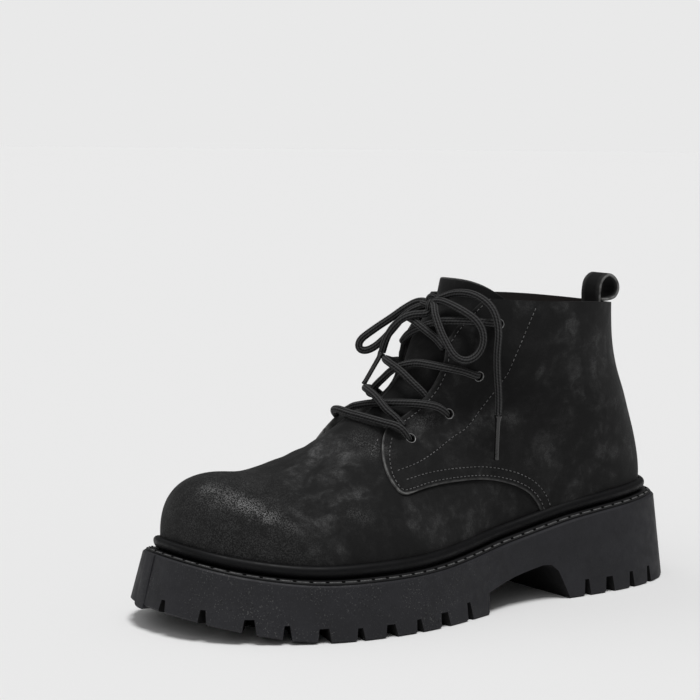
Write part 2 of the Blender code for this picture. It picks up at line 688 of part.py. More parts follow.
def tongue_column(side, distance):
    """A line up the instep at this distance from its middle, then on above the collar's edge."""
    top_row = SURFACE.collar_row(side, distance)
    line = []
    for row in np.linspace(TONGUE_ROW, top_row, TONGUE_SECTIONS):
        line.append(SURFACE.points(row, side, [SURFACE.rise_at(row, side, distance)])[0])
    above = TONGUE_TOP * (1 - 0.75 * (distance / TONGUE_HALF_WIDTH) ** 4)
    return line + [line[-1] + np.array(TONGUE_LEAN) * above * share for share in (0.5, 1.0)]


def build_tongue(finish):
    distances = np.linspace(0, TONGUE_HALF_WIDTH, TONGUE_COLUMNS + 1)
    columns = [tongue_column(1, distance) for distance in distances[::-1]]
    columns += [tongue_column(-1, distance) for distance in distances[1:]]
    size = len(columns[0])
    faces = []
    for j in range(len(columns) - 1):
        for i in range(size - 1):
            a = j * size + i
            faces.append((a, a + 1, a + size + 1, a + size))
    top = WALL + TONGUE_CLEARANCE
    points, faces = shell_with_wall(np.vstack(columns), faces, top, top + TONGUE_THICKNESS)
    return add_object("tongue", points, faces, finish)


# ---- pull loop, eyelets and laces ---------------------------------------------------------------

LOOP_WIDTH = 0.0140
LOOP_THICKNESS = 0.0016
PULL_LOOP = [
    # x, z of the strap's middle, from its tail inside the collar over the top to its outer end
    (-0.1133, 0.1290), (-0.1133, 0.1380), (-0.1133, 0.1455), (-0.1133, 0.1505), (-0.1148, 0.1560),
    (-0.1196, 0.1590), (-0.1245, 0.1562), (-0.1262, 0.1515), (-0.1245, 0.1475), (-0.1212, 0.1462),
]
EYELETS = [
    # row, distance from the middle line of the instep
    (8.05, 0.0318), (9.90, 0.0385), (12.30, 0.0490), (14.80, 0.0430),
]
EYELET_RADII = (0.0032, 0.0019)
EYELET_THICKNESS = 0.0008
EYELET_LIFT = 0.00045
EYELET_SIDES = 12
TUBE_SIDES = 8
TUBE_STEP = 0.0075
CORD_STEP = 0.0085

# The lace's routes as x, y, z in millimetres, from one hole or facing edge to the next.
BAR_1 = [
    (21, 25.5, 86.6), (26, 22, 90.8), (31, 15.5, 94), (35, 7, 96), (37, -2, 97), (38, -11, 97),
    (36, -18.5, 95), (31, -24.5, 91.5), (24, -27.5, 88),
]
CROSSINGS = {
    # the strand that starts at the outer facing, and the one that starts at the inner facing
    2: ([(23, 15, 93.5), (25.5, 11, 97), (26, 4, 101.8), (25, -7, 105.5), (20, -15, 105),
         (10, -21.5, 102.5), (0, -26, 99.5)],
        [(27.5, -15.5, 97), (26.5, -10.5, 99.9), (24.2, -2, 102.7), (20.8, 6, 103.4), (16.5, 12, 103.4),
         (11.5, 18, 102.3), (4.5, 22.5, 100), (-1, 25.5, 97.8)]),
    3: ([(6.2, 13.2, 105.2), (9, 11, 108.5), (13, 4, 115), (14, -6, 119), (9, -14, 119), (0, -21, 117),
         (-9, -26.5, 116), (-17, -30, 115.5)],
        [(15, -15, 105.5), (13.5, -10, 111), (11.2, -3, 118.6), (6.2, 6, 121.8), (3.2, 14, 121.6),
         (0, 20.8, 120), (-7.5, 26.3, 117.4), (-16.5, 29, 114.2)]),
    4: ([(-3.5, 12.5, 129.8), (-1.5, 4, 134.8), (-2.5, -6, 138), (-6, -17.5, 139.8), (-14, -27, 140.2),
         (-25.5, -33, 140)],
        [(-3, -13.5, 129.8), (-1.5, -7, 132.8), (-2.5, 1, 136), (-5, 10.5, 139.2), (-9, 20, 140.2),
         (-15.5, 28, 140.2), (-25.5, 33.5, 140)]),
}
KNOT_PLACE = (-6.5, 1, 147.5)
KNOT_SIZE = (4.4, 5.6, 4.2)
BOW = {
    "lace_loop_inner": [
        (-6, -5.5, 148.5), (-1.5, -11, 145), (4, -17.5, 138.8), (12, -24, 131.5), (17, -27.5, 125.5),
        (16.5, -27, 122), (12.5, -24, 122.5), (8.5, -20, 126.5), (5, -15.5, 132.5), (2.5, -10.5, 139),
        (-1.6, -6, 144.2)],
    "lace_loop_outer": [
        (-4.8, 7.4, 146.6), (-1, 12.5, 144), (0, 18, 137), (-0.6, 23, 129.5), (-3, 26.5, 123.5),
        (-8, 29, 121), (-12.5, 31, 123.3), (-15.5, 33, 129.2), (-15.5, 33, 135.2), (-13, 31, 141),
        (-9.5, 24, 145.5), (-8, 16, 148), (-7, 8, 149.2)],
    "lace_end_inner": [
        (-4.2, 3.5, 142.2), (-0.5, 0.5, 142.6), (4.5, -4, 141), (8.5, -8.5, 136), (10, -12.5, 129.5),
        (10.5, -15, 122.6)],
    "lace_end_outer": [
        (-10.5, 6, 150.8), (-14, 14, 153.5), (-17.5, 25, 152.6), (-20.5, 34, 146.5), (-21.5, 37, 137),
        (-21.8, 36, 127), (-23, 34.8, 116), (-25, 34, 104), (-25.5, 33.4, 94.5)],
}
AGLETS = {
    # from the cord's end to the tip
    "aglet_inner": [(10.6, -15.1, 122.2), (18, -20, 106)],
    "aglet_outer": [(-25.5, 33.4, 94.1), (-25.5, 33.6, 74.5)],
}


def smooth_route(route, step):
    """Points about a step apart on a smooth curve through a route given in millimetres."""
    corners = np.array(route, float) / 1000
    knots = np.concatenate([[0], np.cumsum(np.linalg.norm(np.diff(corners, axis=0), axis=1))])
    count = max(int(round(knots[-1] / step)), 1) + 1
    return catmull_rom(knots, corners, np.linspace(0, knots[-1], count))


def tube(route, radius, sides):
    """(points, faces) of a round tube with flat ends."""
    route = np.asarray(route)
    along = np.gradient(route, axis=0)
    along /= np.linalg.norm(along, axis=1)[:, None]
    side = np.cross(along[0], (0.0, 0.0, 1.0))
    angles = np.arange(sides) * 2 * math.pi / sides
    rings = []
    for point, direction in zip(route, along):
        side = side - direction * (side @ direction)
        side /= np.linalg.norm(side)
        other = np.cross(direction, side)
        rings.append(point + radius * (np.outer(np.cos(angles), side) + np.outer(np.sin(angles), other)))
    last = (len(rings) - 1) * sides
    faces = loft_faces(len(rings), sides)
    faces += [tuple(range(sides))[::-1], tuple(range(last, last + sides))]
    return np.vstack(rings), faces


def build_pull_loop(finish):
    middle = np.array(PULL_LOOP)
    along = np.gradient(middle, axis=0)
    along /= np.linalg.norm(along, axis=1)[:, None]
    across = np.column_stack([-along[:, 1], along[:, 0]]) * LOOP_THICKNESS / 2
    points = []
    for (x, z), (dx, dz) in zip(middle, across):
        for sign, y in ((1, -1), (1, 1), (-1, 1), (-1, -1)):
            points.append((x + sign * dx, y * LOOP_WIDTH / 2, z + sign * dz))
    last = 4 * (len(middle) - 1)
    faces = loft_faces(len(middle), 4) + [(0, 3, 2, 1), (last, last + 1, last + 2, last + 3)]
    return add_object("pull_loop", points, faces, finish)


def build_eyelets(finish):
    angles = np.arange(EYELET_SIDES) * 2 * math.pi / EYELET_SIDES
    for number, (row, distance) in enumerate(EYELETS, start=1):
        for side, name in ((1, "outer"), (-1, "inner")):
            centre, normal = SURFACE.place(row, side, distance)
            right = np.cross(normal, (0.0, 0.0, 1.0))
            right /= np.linalg.norm(right)
            up = np.cross(normal, right)
            circle = np.outer(np.cos(angles), right) + np.outer(np.sin(angles), up)
            low, high = EYELET_LIFT, EYELET_LIFT + EYELET_THICKNESS
            wide, narrow = EYELET_RADII
            section = ((wide, low), (wide, high), (narrow, high), (narrow, low))
            rings = [centre + normal * lift + circle * radius for radius, lift in section]
            faces = loft_faces(4, EYELET_SIDES, closed=True)
            add_object(f"eyelet_{number}_{name}", np.vstack(rings), faces, finish)


def build_lacing(finish):
    radius = LACE_DIAMETER / 2
    add_object("lace_bar_1", *tube(smooth_route(BAR_1, TUBE_STEP), radius, TUBE_SIDES), finish)
    for number, (outer, inner) in CROSSINGS.items():
        name = f"lace_cross_{number}"
        crossing = add_object(name, *tube(smooth_route(outer, TUBE_STEP), radius, TUBE_SIDES), finish)
        other = cutter(f"{name}_other", *tube(smooth_route(inner, TUBE_STEP), radius, TUBE_SIDES))
        boolean(crossing, "UNION", other)


def build_knot(finish):
    shell = bmesh.new()
    bmesh.ops.create_icosphere(shell, subdivisions=2, radius=1.0)
    points = np.array([vertex.co for vertex in shell.verts]) * KNOT_SIZE + KNOT_PLACE
    faces = [[vertex.index for vertex in face.verts] for face in shell.faces]
    shell.free()
    return add_object("lace_knot", points / 1000, faces, finish)


def build_cord(name, route, finish):
    """A tube along a route, as a curve with round bevel and filled caps."""
    curve = bpy.data.curves.new(name, "CURVE")
    curve.dimensions = "3D"
    curve.bevel_depth = LACE_DIAMETER / 2
    curve.bevel_resolution = 2
    curve.use_fill_caps = True
    points = smooth_route(route, CORD_STEP) - ORIGIN
    line = curve.splines.new("POLY")
    line.points.add(len(points) - 1)
    for target, point in zip(line.points, points):
        target.co = (*point, 1.0)
    made = bpy.data.objects.new(name, curve)
    curve.materials.append(finish)
    bpy.context.scene.collection.objects.link(made)
    return made


# ---- assembly ------------------------------------------------------------------------------------------

for old in list(bpy.data.objects):
    bpy.data.objects.remove(old)

SURFACE = Upper()
RUBBER = material("sole_rubber", (0.030, 0.030, 0.032), 0.62)
LEATHER = material("nubuck", (0.022, 0.022, 0.023), 0.85)
LINING = material("lining", (0.020, 0.016, 0.015), 0.90)
LACE = material("lace_cord", (0.018, 0.018, 0.018), 0.80)
EYELET_METAL = material("eyelet_black", (0.050, 0.050, 0.050), 0.45)
AGLET_PLASTIC = material("aglet_black", (0.020, 0.020, 0.022), 0.30)

build_outsole(RUBBER)
hoop("welt", WELT_PROFILE, SOLE_COUNT, RUBBER)
hoop("rand", rand_profile(), SOLE_COUNT, RUBBER)
build_insole(LINING)
build_upper(LEATHER)
build_tongue(LEATHER)
build_pull_loop(LEATHER)
build_eyelets(EYELET_METAL)
build_lacing(LACE)
build_knot(LACE)
for cord_name, cord_route in BOW.items():
    build_cord(cord_name, cord_route, LACE)
for aglet_name, aglet_route in AGLETS.items():
    sheath = tube(np.array(aglet_route) / 1000, AGLET_DIAMETER / 2, TUBE_SIDES)
    add_object(aglet_name, *sheath, AGLET_PLASTIC)
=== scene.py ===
"""Looks for a black nubuck derby ankle boot: its upper with the quarter flaps, seams and eyelets, the
laces with their bow, the tongue, the pull loop and the cleated sole. Tables hold metres or millimetres,
as each says, in the frame of the shoe's drawing, which ORIGIN moves to the model's own frame.
"""

import math
import bmesh
import bpy
import numpy as np
from mathutils import Matrix, Vector, noise
from mathutils.bvhtree import BVHTree
from mathutils.kdtree import KDTree


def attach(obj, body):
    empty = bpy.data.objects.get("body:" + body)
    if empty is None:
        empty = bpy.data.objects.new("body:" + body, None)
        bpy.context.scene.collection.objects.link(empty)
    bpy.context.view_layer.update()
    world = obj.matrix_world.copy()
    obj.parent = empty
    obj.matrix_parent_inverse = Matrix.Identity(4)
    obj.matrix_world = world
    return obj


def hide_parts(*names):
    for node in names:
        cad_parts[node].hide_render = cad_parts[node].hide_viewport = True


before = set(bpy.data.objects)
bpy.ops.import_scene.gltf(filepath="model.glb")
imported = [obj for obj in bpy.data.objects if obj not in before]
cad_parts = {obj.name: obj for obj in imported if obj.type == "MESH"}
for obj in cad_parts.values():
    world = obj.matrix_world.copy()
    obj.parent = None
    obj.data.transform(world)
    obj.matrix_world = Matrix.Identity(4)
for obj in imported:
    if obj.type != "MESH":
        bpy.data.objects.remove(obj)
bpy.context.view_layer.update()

# ---- sizes of the drawing ----

WALL = 0.0020               # upper leather with its lining
FEATHER_INSET = 0.0085      # from the sole's top edge in to the upper's outer face
FEATHER_BASE = 0.0019       # the upper's foot above the sole's edge
WALL_FLARE = 0.0054
TOE_FLARE = 0.0003
TOE_FLARE_FROM_X = 0.090
TOE_FLARE_RUN = 0.055
COLLAR_FRONT_Z = 0.1520
COLLAR_SIDE_Z = 0.1490
COLLAR_BACK_Z = 0.1450
COLLAR_CENTRE_X = -0.0665
COLLAR_HALF_LENGTH = 0.0525
COLLAR_HALF_WIDTH = 0.0355
TONGUE_HALF_WIDTH = 0.0350
TONGUE_THICKNESS = 0.0022
TONGUE_CLEARANCE = 0.0014
LACE_DIAMETER = 0.0038
OUTLINE = [
    # x, y of the sole's top edge, once round from the heel by the outer side
    (-0.1489, 0.0005), (-0.1431, 0.0213), (-0.1211, 0.0335), (-0.0898, 0.0388), (-0.0600, 0.0393),
    (-0.0305, 0.0401), (-0.0015, 0.0486), (0.0288, 0.0571), (0.0576, 0.0597), (0.0852, 0.0562),
    (0.1121, 0.0444), (0.1331, 0.0273), (0.1427, 0.0083), (0.1438, -0.0087), (0.1411, -0.0255),
    (0.1278, -0.0400), (0.1067, -0.0469), (0.0804, -0.0489), (0.0522, -0.0466), (0.0201, -0.0405),
    (-0.0150, -0.0360), (-0.0550, -0.0349), (-0.0950, -0.0369), (-0.1262, -0.0312), (-0.1430, -0.0181),
]
EDGE_HEIGHT = [
    # x, z of that edge
    (-0.155, 0.0450), (-0.120, 0.0431), (-0.075, 0.0391), (-0.030, 0.0310), (0.015, 0.0260),
    (0.060, 0.0250), (0.100, 0.0263), (0.125, 0.0302), (0.152, 0.0374),
]
TOE_SPRING = 0.0136         # lift of the sole's bottom at the tip
TOE_SPRING_FROM_X = 0.0854
TOE_SPRING_TO_X = 0.152
TOE_SPRING_POWER = 1.6
ROWS = [
    # foot_x, top_x, ridge_y, top_z, around, side, lean, forward, out, down
    (None, 0.105, -0.0080, 0.0722, None, 0.0245, 0.12, 0.0270, 0.0000, 0.0005),
    (0.133, 0.102, -0.0080, 0.0722, None, 0.0245, 0.12, 0.0238, 0.0138, 0.0008),
    (0.122, 0.097, -0.0075, 0.0722, None, 0.0240, 0.12, 0.0153, 0.0234, 0.0008),
    (0.106, 0.089, -0.0070, 0.0722, None, 0.0230, 0.12, 0.0058, 0.0284, 0.0008),
    (0.086, 0.078, -0.0060, 0.0734, None, 0.0230, 0.12, 0.0000, 0.0300, 0.0006),
    (0.064, 0.065, -0.0050, 0.0766, None, 0.0250, 0.12, 0.0000, 0.0310, 0.0006),
    (0.042, 0.052, -0.0040, 0.0824, None, 0.0280, 0.10, 0.0000, 0.0300, 0.0012),
    (0.020, 0.0405, -0.0035, 0.0900, None, 0.0310, 0.07, 0.0000, 0.0282, 0.0030),
    (0.000, 0.030, -0.0030, 0.0987, None, 0.0340, 0.05, 0.0000, 0.0265, 0.0055),
    (-0.020, 0.0205, -0.0025, 0.1080, None, 0.0370, 0.04, 0.0008, 0.0255, 0.0085),
    (-0.038, 0.0115, -0.0020, 0.1180, None, 0.0410, 0.04, 0.0015, 0.0258, 0.0125),
    (-0.052, 0.003, -0.0010, 0.1285, None, 0.0440, 0.04, 0.0022, 0.0270, 0.0178),
    (-0.063, -0.006, 0.0000, 0.1405, None, 0.0460, 0.05, 0.0035, 0.0285, 0.0250),
    (-0.071, None, 0.0000, None, 0, 0.0470, 0.06, 0.0050, 0.0290, 0.0335),
    (-0.079, None, 0.0000, None, 25, 0.0460, 0.07, 0.0062, 0.0155, 0.0345),
    (-0.088, None, 0.0005, None, 50, 0.0440, 0.08, 0.0068, 0.0062, 0.0385),
    (-0.100, None, 0.0010, None, 80, 0.0420, 0.06, 0.0035, 0.0020, 0.0435),
    (-0.113, None, 0.0010, None, 112, 0.0400, 0.05, 0.0000, 0.0014, 0.0460),
    (-0.127, None, 0.0010, None, 145, 0.0370, 0.05, -0.0023, 0.0014, 0.0470),
    (None, None, 0.0010, None, 180, 0.0340, 0.05, -0.0029, 0.0000, 0.0480),
]
ANKLE_FROM_Z = 0.098
ANKLE_TO_Z = 0.132
COLLAR_ROW = 13
THROAT_ROW = 7.3
THROAT_GROWS = 0.7
THROAT = [
    # row, distance from the middle line of the instep to a facing's edge
    (7.3, 0.0190), (8.2, 0.0205), (9.3, 0.0230), (10.5, 0.0255), (11.5, 0.0270), (12.3, 0.0270),
    (13.5, 0.0250), (19.0, 0.0250),
]
COLLAR_THROAT = 0.0250
TONGUE_ROW = 6.3
TONGUE_TOP = 0.0090
TONGUE_LEAN = (-0.25, 0.0, 0.968)
EYELETS = [
    # row, distance from the middle line of the instep
    (8.05, 0.0318), (9.90, 0.0385), (12.30, 0.0490), (14.80, 0.0430),
]

# Seams of one quarter as x, z in millimetres, seen square from the side.
QUARTER_EDGE = [
    (16, 101), (20.5, 96.8), (25, 92.3), (30.7, 87), (35.1, 81.5), (38.8, 75), (40.2, 69.9), (39.8, 65.7),
    (38.2, 62.3), (35.4, 60.6), (31, 60.9), (18.5, 62.5), (6.2, 63.1), (-6.6, 62.9), (-17, 62.4), (-31, 60),
    (-41, 56.8), (-48.5, 52.6), (-53.6, 47), (-56.7, 40.5), (-58.3, 33),
]
FACING_SEAM = [
    (34.8, 71.3), (20.5, 74.2), (7.6, 78.6), (-4, 84), (-12.8, 88.3), (-20, 95.1), (-26.5, 101.8),
    (-31.4, 108.1), (-35, 121.2), (-40.7, 134), (-45, 142), (-47.5, 146.5),
]


# ---- curves ----

def unit(vectors):
    return vectors / np.linalg.norm(vectors, axis=-1, keepdims=True)


def travelled(points):
    """The way along a line, from its first point to each of them."""
    return np.concatenate([[0.0], np.cumsum(np.linalg.norm(np.diff(points, axis=0), axis=1))])


def even_line(points, step):
    """Points this far apart along a line."""
    way = travelled(points)
    at = np.linspace(0, way[-1], max(int(round(way[-1] / step)), 1) + 1)
    return np.column_stack([np.interp(at, way, axis) for axis in np.asarray(points, float).T])


def catmull_rom(knots, values, at):
    """Smooth curve through values at knots; each stretch looks only at its four nearest knots."""
    knots, values = np.asarray(knots, float), np.asarray(values, float).T
    step = np.diff(knots)
    rise = np.diff(values) / step
    before = step[1:] / (step[1:] + step[:-1])
    between = rise[..., :-1] * before + rise[..., 1:] * (1 - before)
    slopes = np.concatenate([rise[..., :1], between, rise[..., -1:]], axis=-1)
    at = np.clip(np.asarray(at, float), knots[0], knots[-1])
    i = np.clip(np.searchsorted(knots, at, side="right") - 1, 0, len(step) - 1)
    span = step[i]
    u = (at - knots[i]) / span
    return (values[..., i] * (1 + 2 * u) * (1 - u) ** 2 + slopes[..., i] * span * u * (1 - u) ** 2
            + values[..., i + 1] * u * u * (3 - 2 * u) + slopes[..., i + 1] * span * u * u * (u - 1)).T


def smooth_line(corners, step):
    """A smooth curve through corners, as points this far apart."""
    knots = travelled(corners)
    return even_line(catmull_rom(knots, corners, np.linspace(0, knots[-1], len(corners) * 24)), step)


def closed_curve(knots, values, period, at, turn=0.0):
    """catmull_rom for a closed loop, whose values grow by turn each time round."""
    knots = np.concatenate([knots[-3:] - period, knots, knots[:3] + period])
    values = np.concatenate([values[-3:] - turn, values, values[:3] + turn])
    return catmull_rom(knots, values, np.mod(at, period))


def softened(loop, width):
    """A closed run of samples, averaged with a bell-shaped weight of this many samples each way."""
    reach = np.arange(-3 * width, 3 * width + 1)
    weight = np.exp(-0.5 * (reach / width) ** 2)
    return sum(w * np.roll(loop, r, axis=0) for w, r in zip(weight / weight.sum(), reach))


# ---- the sole's outline ----

FINE = 1440                 # samples once round
OUTLINE_SOFTENING = 14      # samples over which the outline's corners are rounded


def fine_outline():
    """The outline as evenly spaced points from the heel round by the outer side, with its normals."""
    corners = np.array(OUTLINE)
    way = travelled(np.vstack([corners, corners[:1]]))
    loop = closed_curve(way[:-1], corners, way[-1], np.linspace(0, way[-1], FINE, endpoint=False))
    loop = softened(loop, OUTLINE_SOFTENING)
    ends = np.vstack([loop, loop[:1]])
    loop = even_line(ends, travelled(ends)[-1] / FINE)[:-1]
    along = unit(np.roll(loop, -1, axis=0) - np.roll(loop, 1, axis=0))
    return loop, np.column_stack([-along[:, 1], along[:, 0]])


EDGE, OUTWARD = fine_outline()
TIP = int(np.argmax(EDGE[:, 0]))      # sample at the tip of the toe
HEEL = int(np.argmin(np.roll(EDGE[:, 0], FINE // 2))) - FINE // 2


def edge_height(x):
    return catmull_rom(*np.array(EDGE_HEIGHT).T, np.atleast_1d(x))


def toe_lift(x):
    run = np.clip((np.asarray(x) - TOE_SPRING_FROM_X) / (TOE_SPRING_TO_X - TOE_SPRING_FROM_X), 0, None)
    return TOE_SPRING * run ** TOE_SPRING_POWER


def sample_places(count):
    """Places on the fine outline for a loop of 2 * count points, heel to tip and back.

    The place with index i on the outer side faces the one with index -i on the inner side.
    """
    share = np.linspace(0, 1, count + 1)
    outer = HEEL + share * (TIP - HEEL)
    inner = TIP + share * (HEEL + FINE - TIP)
    return np.concatenate([outer[:-1], inner[:-1]])


def ring(places, inset, above_edge=None, height=None):
    """Points of the outline moved in by inset, at a height above the sole's edge or the floor."""
    at = np.mod(places, FINE)
    i = np.floor(at).astype(int)
    share = (at - i)[:, None]
    edge = EDGE[i] * (1 - share) + EDGE[(i + 1) % FINE] * share
    outward = OUTWARD[i] * (1 - share) + OUTWARD[(i + 1) % FINE] * share
    flat = edge - outward * np.reshape(inset, (-1, 1))
    z = edge_height(flat[:, 0]) + above_edge if height is None else height
    return np.column_stack([flat, np.broadcast_to(z, len(flat))])


def flare(places):
    """How far the bottom edge stands outside the top edge: a little more round the toe."""
    x = ring(places, 0.0, height=0.0)[:, 0]
    return WALL_FLARE + TOE_FLARE * np.clip((x - TOE_FLARE_FROM_X) / TOE_FLARE_RUN, 0, 1) ** 2


def find_origin():
    """The point of the floor under the middle of the sole's bounding box."""
    reach = ring(np.arange(FINE), -flare(np.arange(FINE)), height=0.0)
    middle = (reach.min(axis=0) + reach.max(axis=0)) / 2
    return np.array([middle[0], middle[1], 0.0])


ORIGIN = find_origin()


# ---- the upper's surface ----

LAST_ROW = len(ROWS) - 1
WIDEST_ROW = 16             # where the ankle's oval is widest
OVAL_POWER = 2.1            # 2 is an ellipse
PER_ROW = 24


def collar_point(around):
    """Place of the collar's edge, this many degrees round from its front, on the outer side."""
    angle = math.radians(around)
    x = COLLAR_CENTRE_X + COLLAR_HALF_LENGTH * math.cos(angle)
    y = COLLAR_HALF_WIDTH * math.sin(angle)
    end = COLLAR_FRONT_Z if around < 90 else COLLAR_BACK_Z
    return x, y, COLLAR_SIDE_Z + (end - COLLAR_SIDE_Z) * abs(math.cos(angle)) ** 1.5


def foot_place(row, side):
    """Where a row meets the feather edge, as a place on the fine outline."""
    foot_x = ROWS[row][0]
    if row == 0:
        return float(TIP)
    if row == LAST_ROW:
        return float(HEEL if side > 0 else HEEL + FINE)
    places = np.arange(HEEL, TIP + 1) if side > 0 else np.arange(HEEL + FINE, TIP - 1, -1)
    x = ring(places.astype(float), FEATHER_INSET, height=0.0)[:, 0]
    return float(np.interp(foot_x, x, places))


def surface_controls():
    """Every row's four control points, sampled all round: outer side toe to heel, inner side back."""
    knots, columns = [], []
    for side, rows in ((1, range(0, LAST_ROW + 1)), (-1, range(LAST_ROW - 1, 0, -1))):
        for row in rows:
            _, top_x, ridge_y, top_z, around, side_handle, lean, forward, out, down = ROWS[row]
            half_width = 0.0
            if around is not None:
                top_x, half_width, top_z = collar_point(around)
            place = foot_place(row, side)
            # Counted from the tip: falling on the outer side and rising on the inner side.
            travel = TIP - place if side > 0 else TIP + FINE - place
            knots.append(row if side > 0 else 2 * LAST_ROW - row)
            columns.append([travel, top_x, ridge_y + half_width * side, top_z, side_handle, lean,
                            forward, out * side, -down])
    period = 2 * LAST_ROW
    at = np.arange(period * PER_ROW) / PER_ROW
    knots, columns = np.array(knots, float), np.array(columns)
    drift = at / period * FINE
    travel = softened(closed_curve(knots, columns[:, 0], period, at, FINE) - drift, PER_ROW // 3) + drift
    rest = softened(closed_curve(knots, columns[:, 1:], period, at), PER_ROW // 3)
    foot = ring(TIP - travel, FEATHER_INSET, above_edge=FEATHER_BASE)
    outward = unit(foot - ring(TIP - travel, FEATHER_INSET + 0.001, above_edge=FEATHER_BASE))
    top, side_handle, lean, leave = rest[:, :3], rest[:, 3:4], rest[:, 4:5], rest[:, 5:]
    return foot, foot + (outward * lean + np.array([0, 0, 1.0])) * side_handle, top + leave, top


class Upper:
    """The upper's outer face as a surface: row counts from toe to heel, rise runs from 0 to 1."""

    def __init__(self):
        self.controls = surface_controls()
        fine = np.linspace(0, 1, 200)
        ridge = np.vstack([self.curve(row, 1, [1.0]) for row in np.linspace(0, COLLAR_ROW, 200)])
        back, widest = self.curve(LAST_ROW, 1, fine), self.curve(WIDEST_ROW, 1, fine)
        self.heights = np.linspace(ANKLE_FROM_Z, COLLAR_FRONT_Z, 60)
        self.front_x, self.back_x, self.half_width = [
            np.interp(self.heights, line[:, 2], line[:, axis])
            for line, axis in ((ridge, 0), (back, 0), (widest, 1))]
        self.rows = np.linspace(COLLAR_ROW, LAST_ROW, 281)
        self.away = {}
        for side in (1, -1):
            self.away[side] = travelled(np.vstack([self.points(row, side, [1.0]) for row in self.rows]))

    def row(self, row, side):
        loop = np.mod(row if side > 0 else 2 * LAST_ROW - row, 2 * LAST_ROW) * PER_ROW
        i = int(np.floor(loop))
        share = loop - i
        count = len(self.controls[0])
        return [c[i % count] * (1 - share) + c[(i + 1) % count] * share for c in self.controls]

    def curve(self, row, side, rise):
        a, b, c, d = self.row(row, side)
        u = np.asarray(rise, float)[:, None]
        return a * (1 - u) ** 3 + b * 3 * u * (1 - u) ** 2 + c * 3 * u * u * (1 - u) + d * u ** 3

    def points(self, row, side, rise):
        """The row's curve, drawn on to the ankle's oval as far as it reaches up into it."""
        line = self.curve(row, side, rise)
        front, back, half_width = [np.interp(line[:, 2], self.heights, values)
                                   for values in (self.front_x, self.back_x, self.half_width)]
        across = np.column_stack([line[:, 0] - (front + back) / 2, line[:, 1]])
        share = np.abs(across / np.column_stack([(front - back) / 2, half_width])) ** OVAL_POWER
        reach = share.sum(axis=1) ** (1 / OVAL_POWER)
        rise = np.clip((line[:, 2] - ANKLE_FROM_Z) / (ANKLE_TO_Z - ANKLE_FROM_Z), 0, 1)
        pull = rise * rise * (3 - 2 * rise) * (1 / np.maximum(reach, 0.5) - 1)
        line[:, :2] += across * pull[:, None]
        return line

    def collar_row(self, side, distance):
        """The row that meets the collar at this distance round from its front."""
        return float(np.interp(distance, self.away[side], self.rows))

    def rise_at(self, row, side, distance):
        """The rise at which a row is this far from the middle line of the instep."""
        reach = distance - float(np.interp(row, self.rows, self.away[side]))
        if reach <= 0:
            return 1.0
        fine = np.linspace(0, 1, 400)
        way = travelled(self.points(row, side, fine))
        return float(np.interp(way[-1] - reach, way, fine))

    def place(self, row, side, distance):
        """The point this far from the middle line along a row, and the outward normal there."""
        def at(a_row, a_distance):
            return self.points(a_row, side, [self.rise_at(a_row, side, a_distance)])[0]
        step = 0.0005
        along = at(row + 0.02, distance) - at(row - 0.02, distance)
        across = at(row, distance + step) - at(row, distance - step)
        return at(row, distance), unit(np.cross(along, across) * -side)


def throat_half_gap(row):
    """Half the width of the throat: round at its foot, then as the table says."""
    opened = min(max((row - THROAT_ROW) / THROAT_GROWS, 0.0), 1.0)
    rows, distances = np.array(THROAT).T
    return float(np.interp(row, rows, distances)) * math.sqrt(1 - (1 - opened) ** 2)


# ---- camera, floor and light ----

CAMERA_TARGET = (0.04056, 0.0, 0.12628)
CAMERA_YAW = 34.93          # degrees from the shoe's outer side towards its toe
CAMERA_PITCH = 5.99
CAMERA_ROLL = 0.90
CAMERA_DISTANCE = 1.0171
CAMERA_LENS = 107.95
BACKDROP = 0.815            # what the camera sees beyond the floor


def new_object(name, data):
    made = bpy.data.objects.new(name, data)
    bpy.context.scene.collection.objects.link(made)
    return made


def add_camera():
    yaw, pitch, roll = (math.radians(a) for a in (CAMERA_YAW, CAMERA_PITCH, CAMERA_ROLL))
    back = Vector((math.sin(yaw) * math.cos(pitch), math.cos(yaw) * math.cos(pitch), math.sin(pitch)))
    level = (-back).cross(Vector((0, 0, 1))).normalized()
    rise = level.cross(-back)
    right = math.cos(roll) * level + math.sin(roll) * rise
    up = math.cos(roll) * rise - math.sin(roll) * level
    data = bpy.data.cameras.new("camera")
    data.lens, data.sensor_width, data.clip_start, data.clip_end = CAMERA_LENS, 36.0, 0.05, 60.0
    turn = Matrix((right, up, back)).transposed().to_4x4()
    place = Vector(CAMERA_TARGET) - Vector(ORIGIN) + back * CAMERA_DISTANCE
    camera = bpy.context.scene.camera = new_object("camera", data)
    camera.matrix_world = Matrix.Translation(place) @ turn


SUNS = [
    # name, azimuth it shines from (degrees from +X towards +Y), height, strength, width in degrees
    ("key", 80, 79, 2.06, 24),
    ("fill", 20, 35, 0.38, 60),
    ("rim", -60, 50, 0.25, 50),
]
WORLD_LIGHT = 0.190
FLOOR_REACH = 20.0
FLOOR_TONE = 0.852          # its white under these lights is the backdrop's


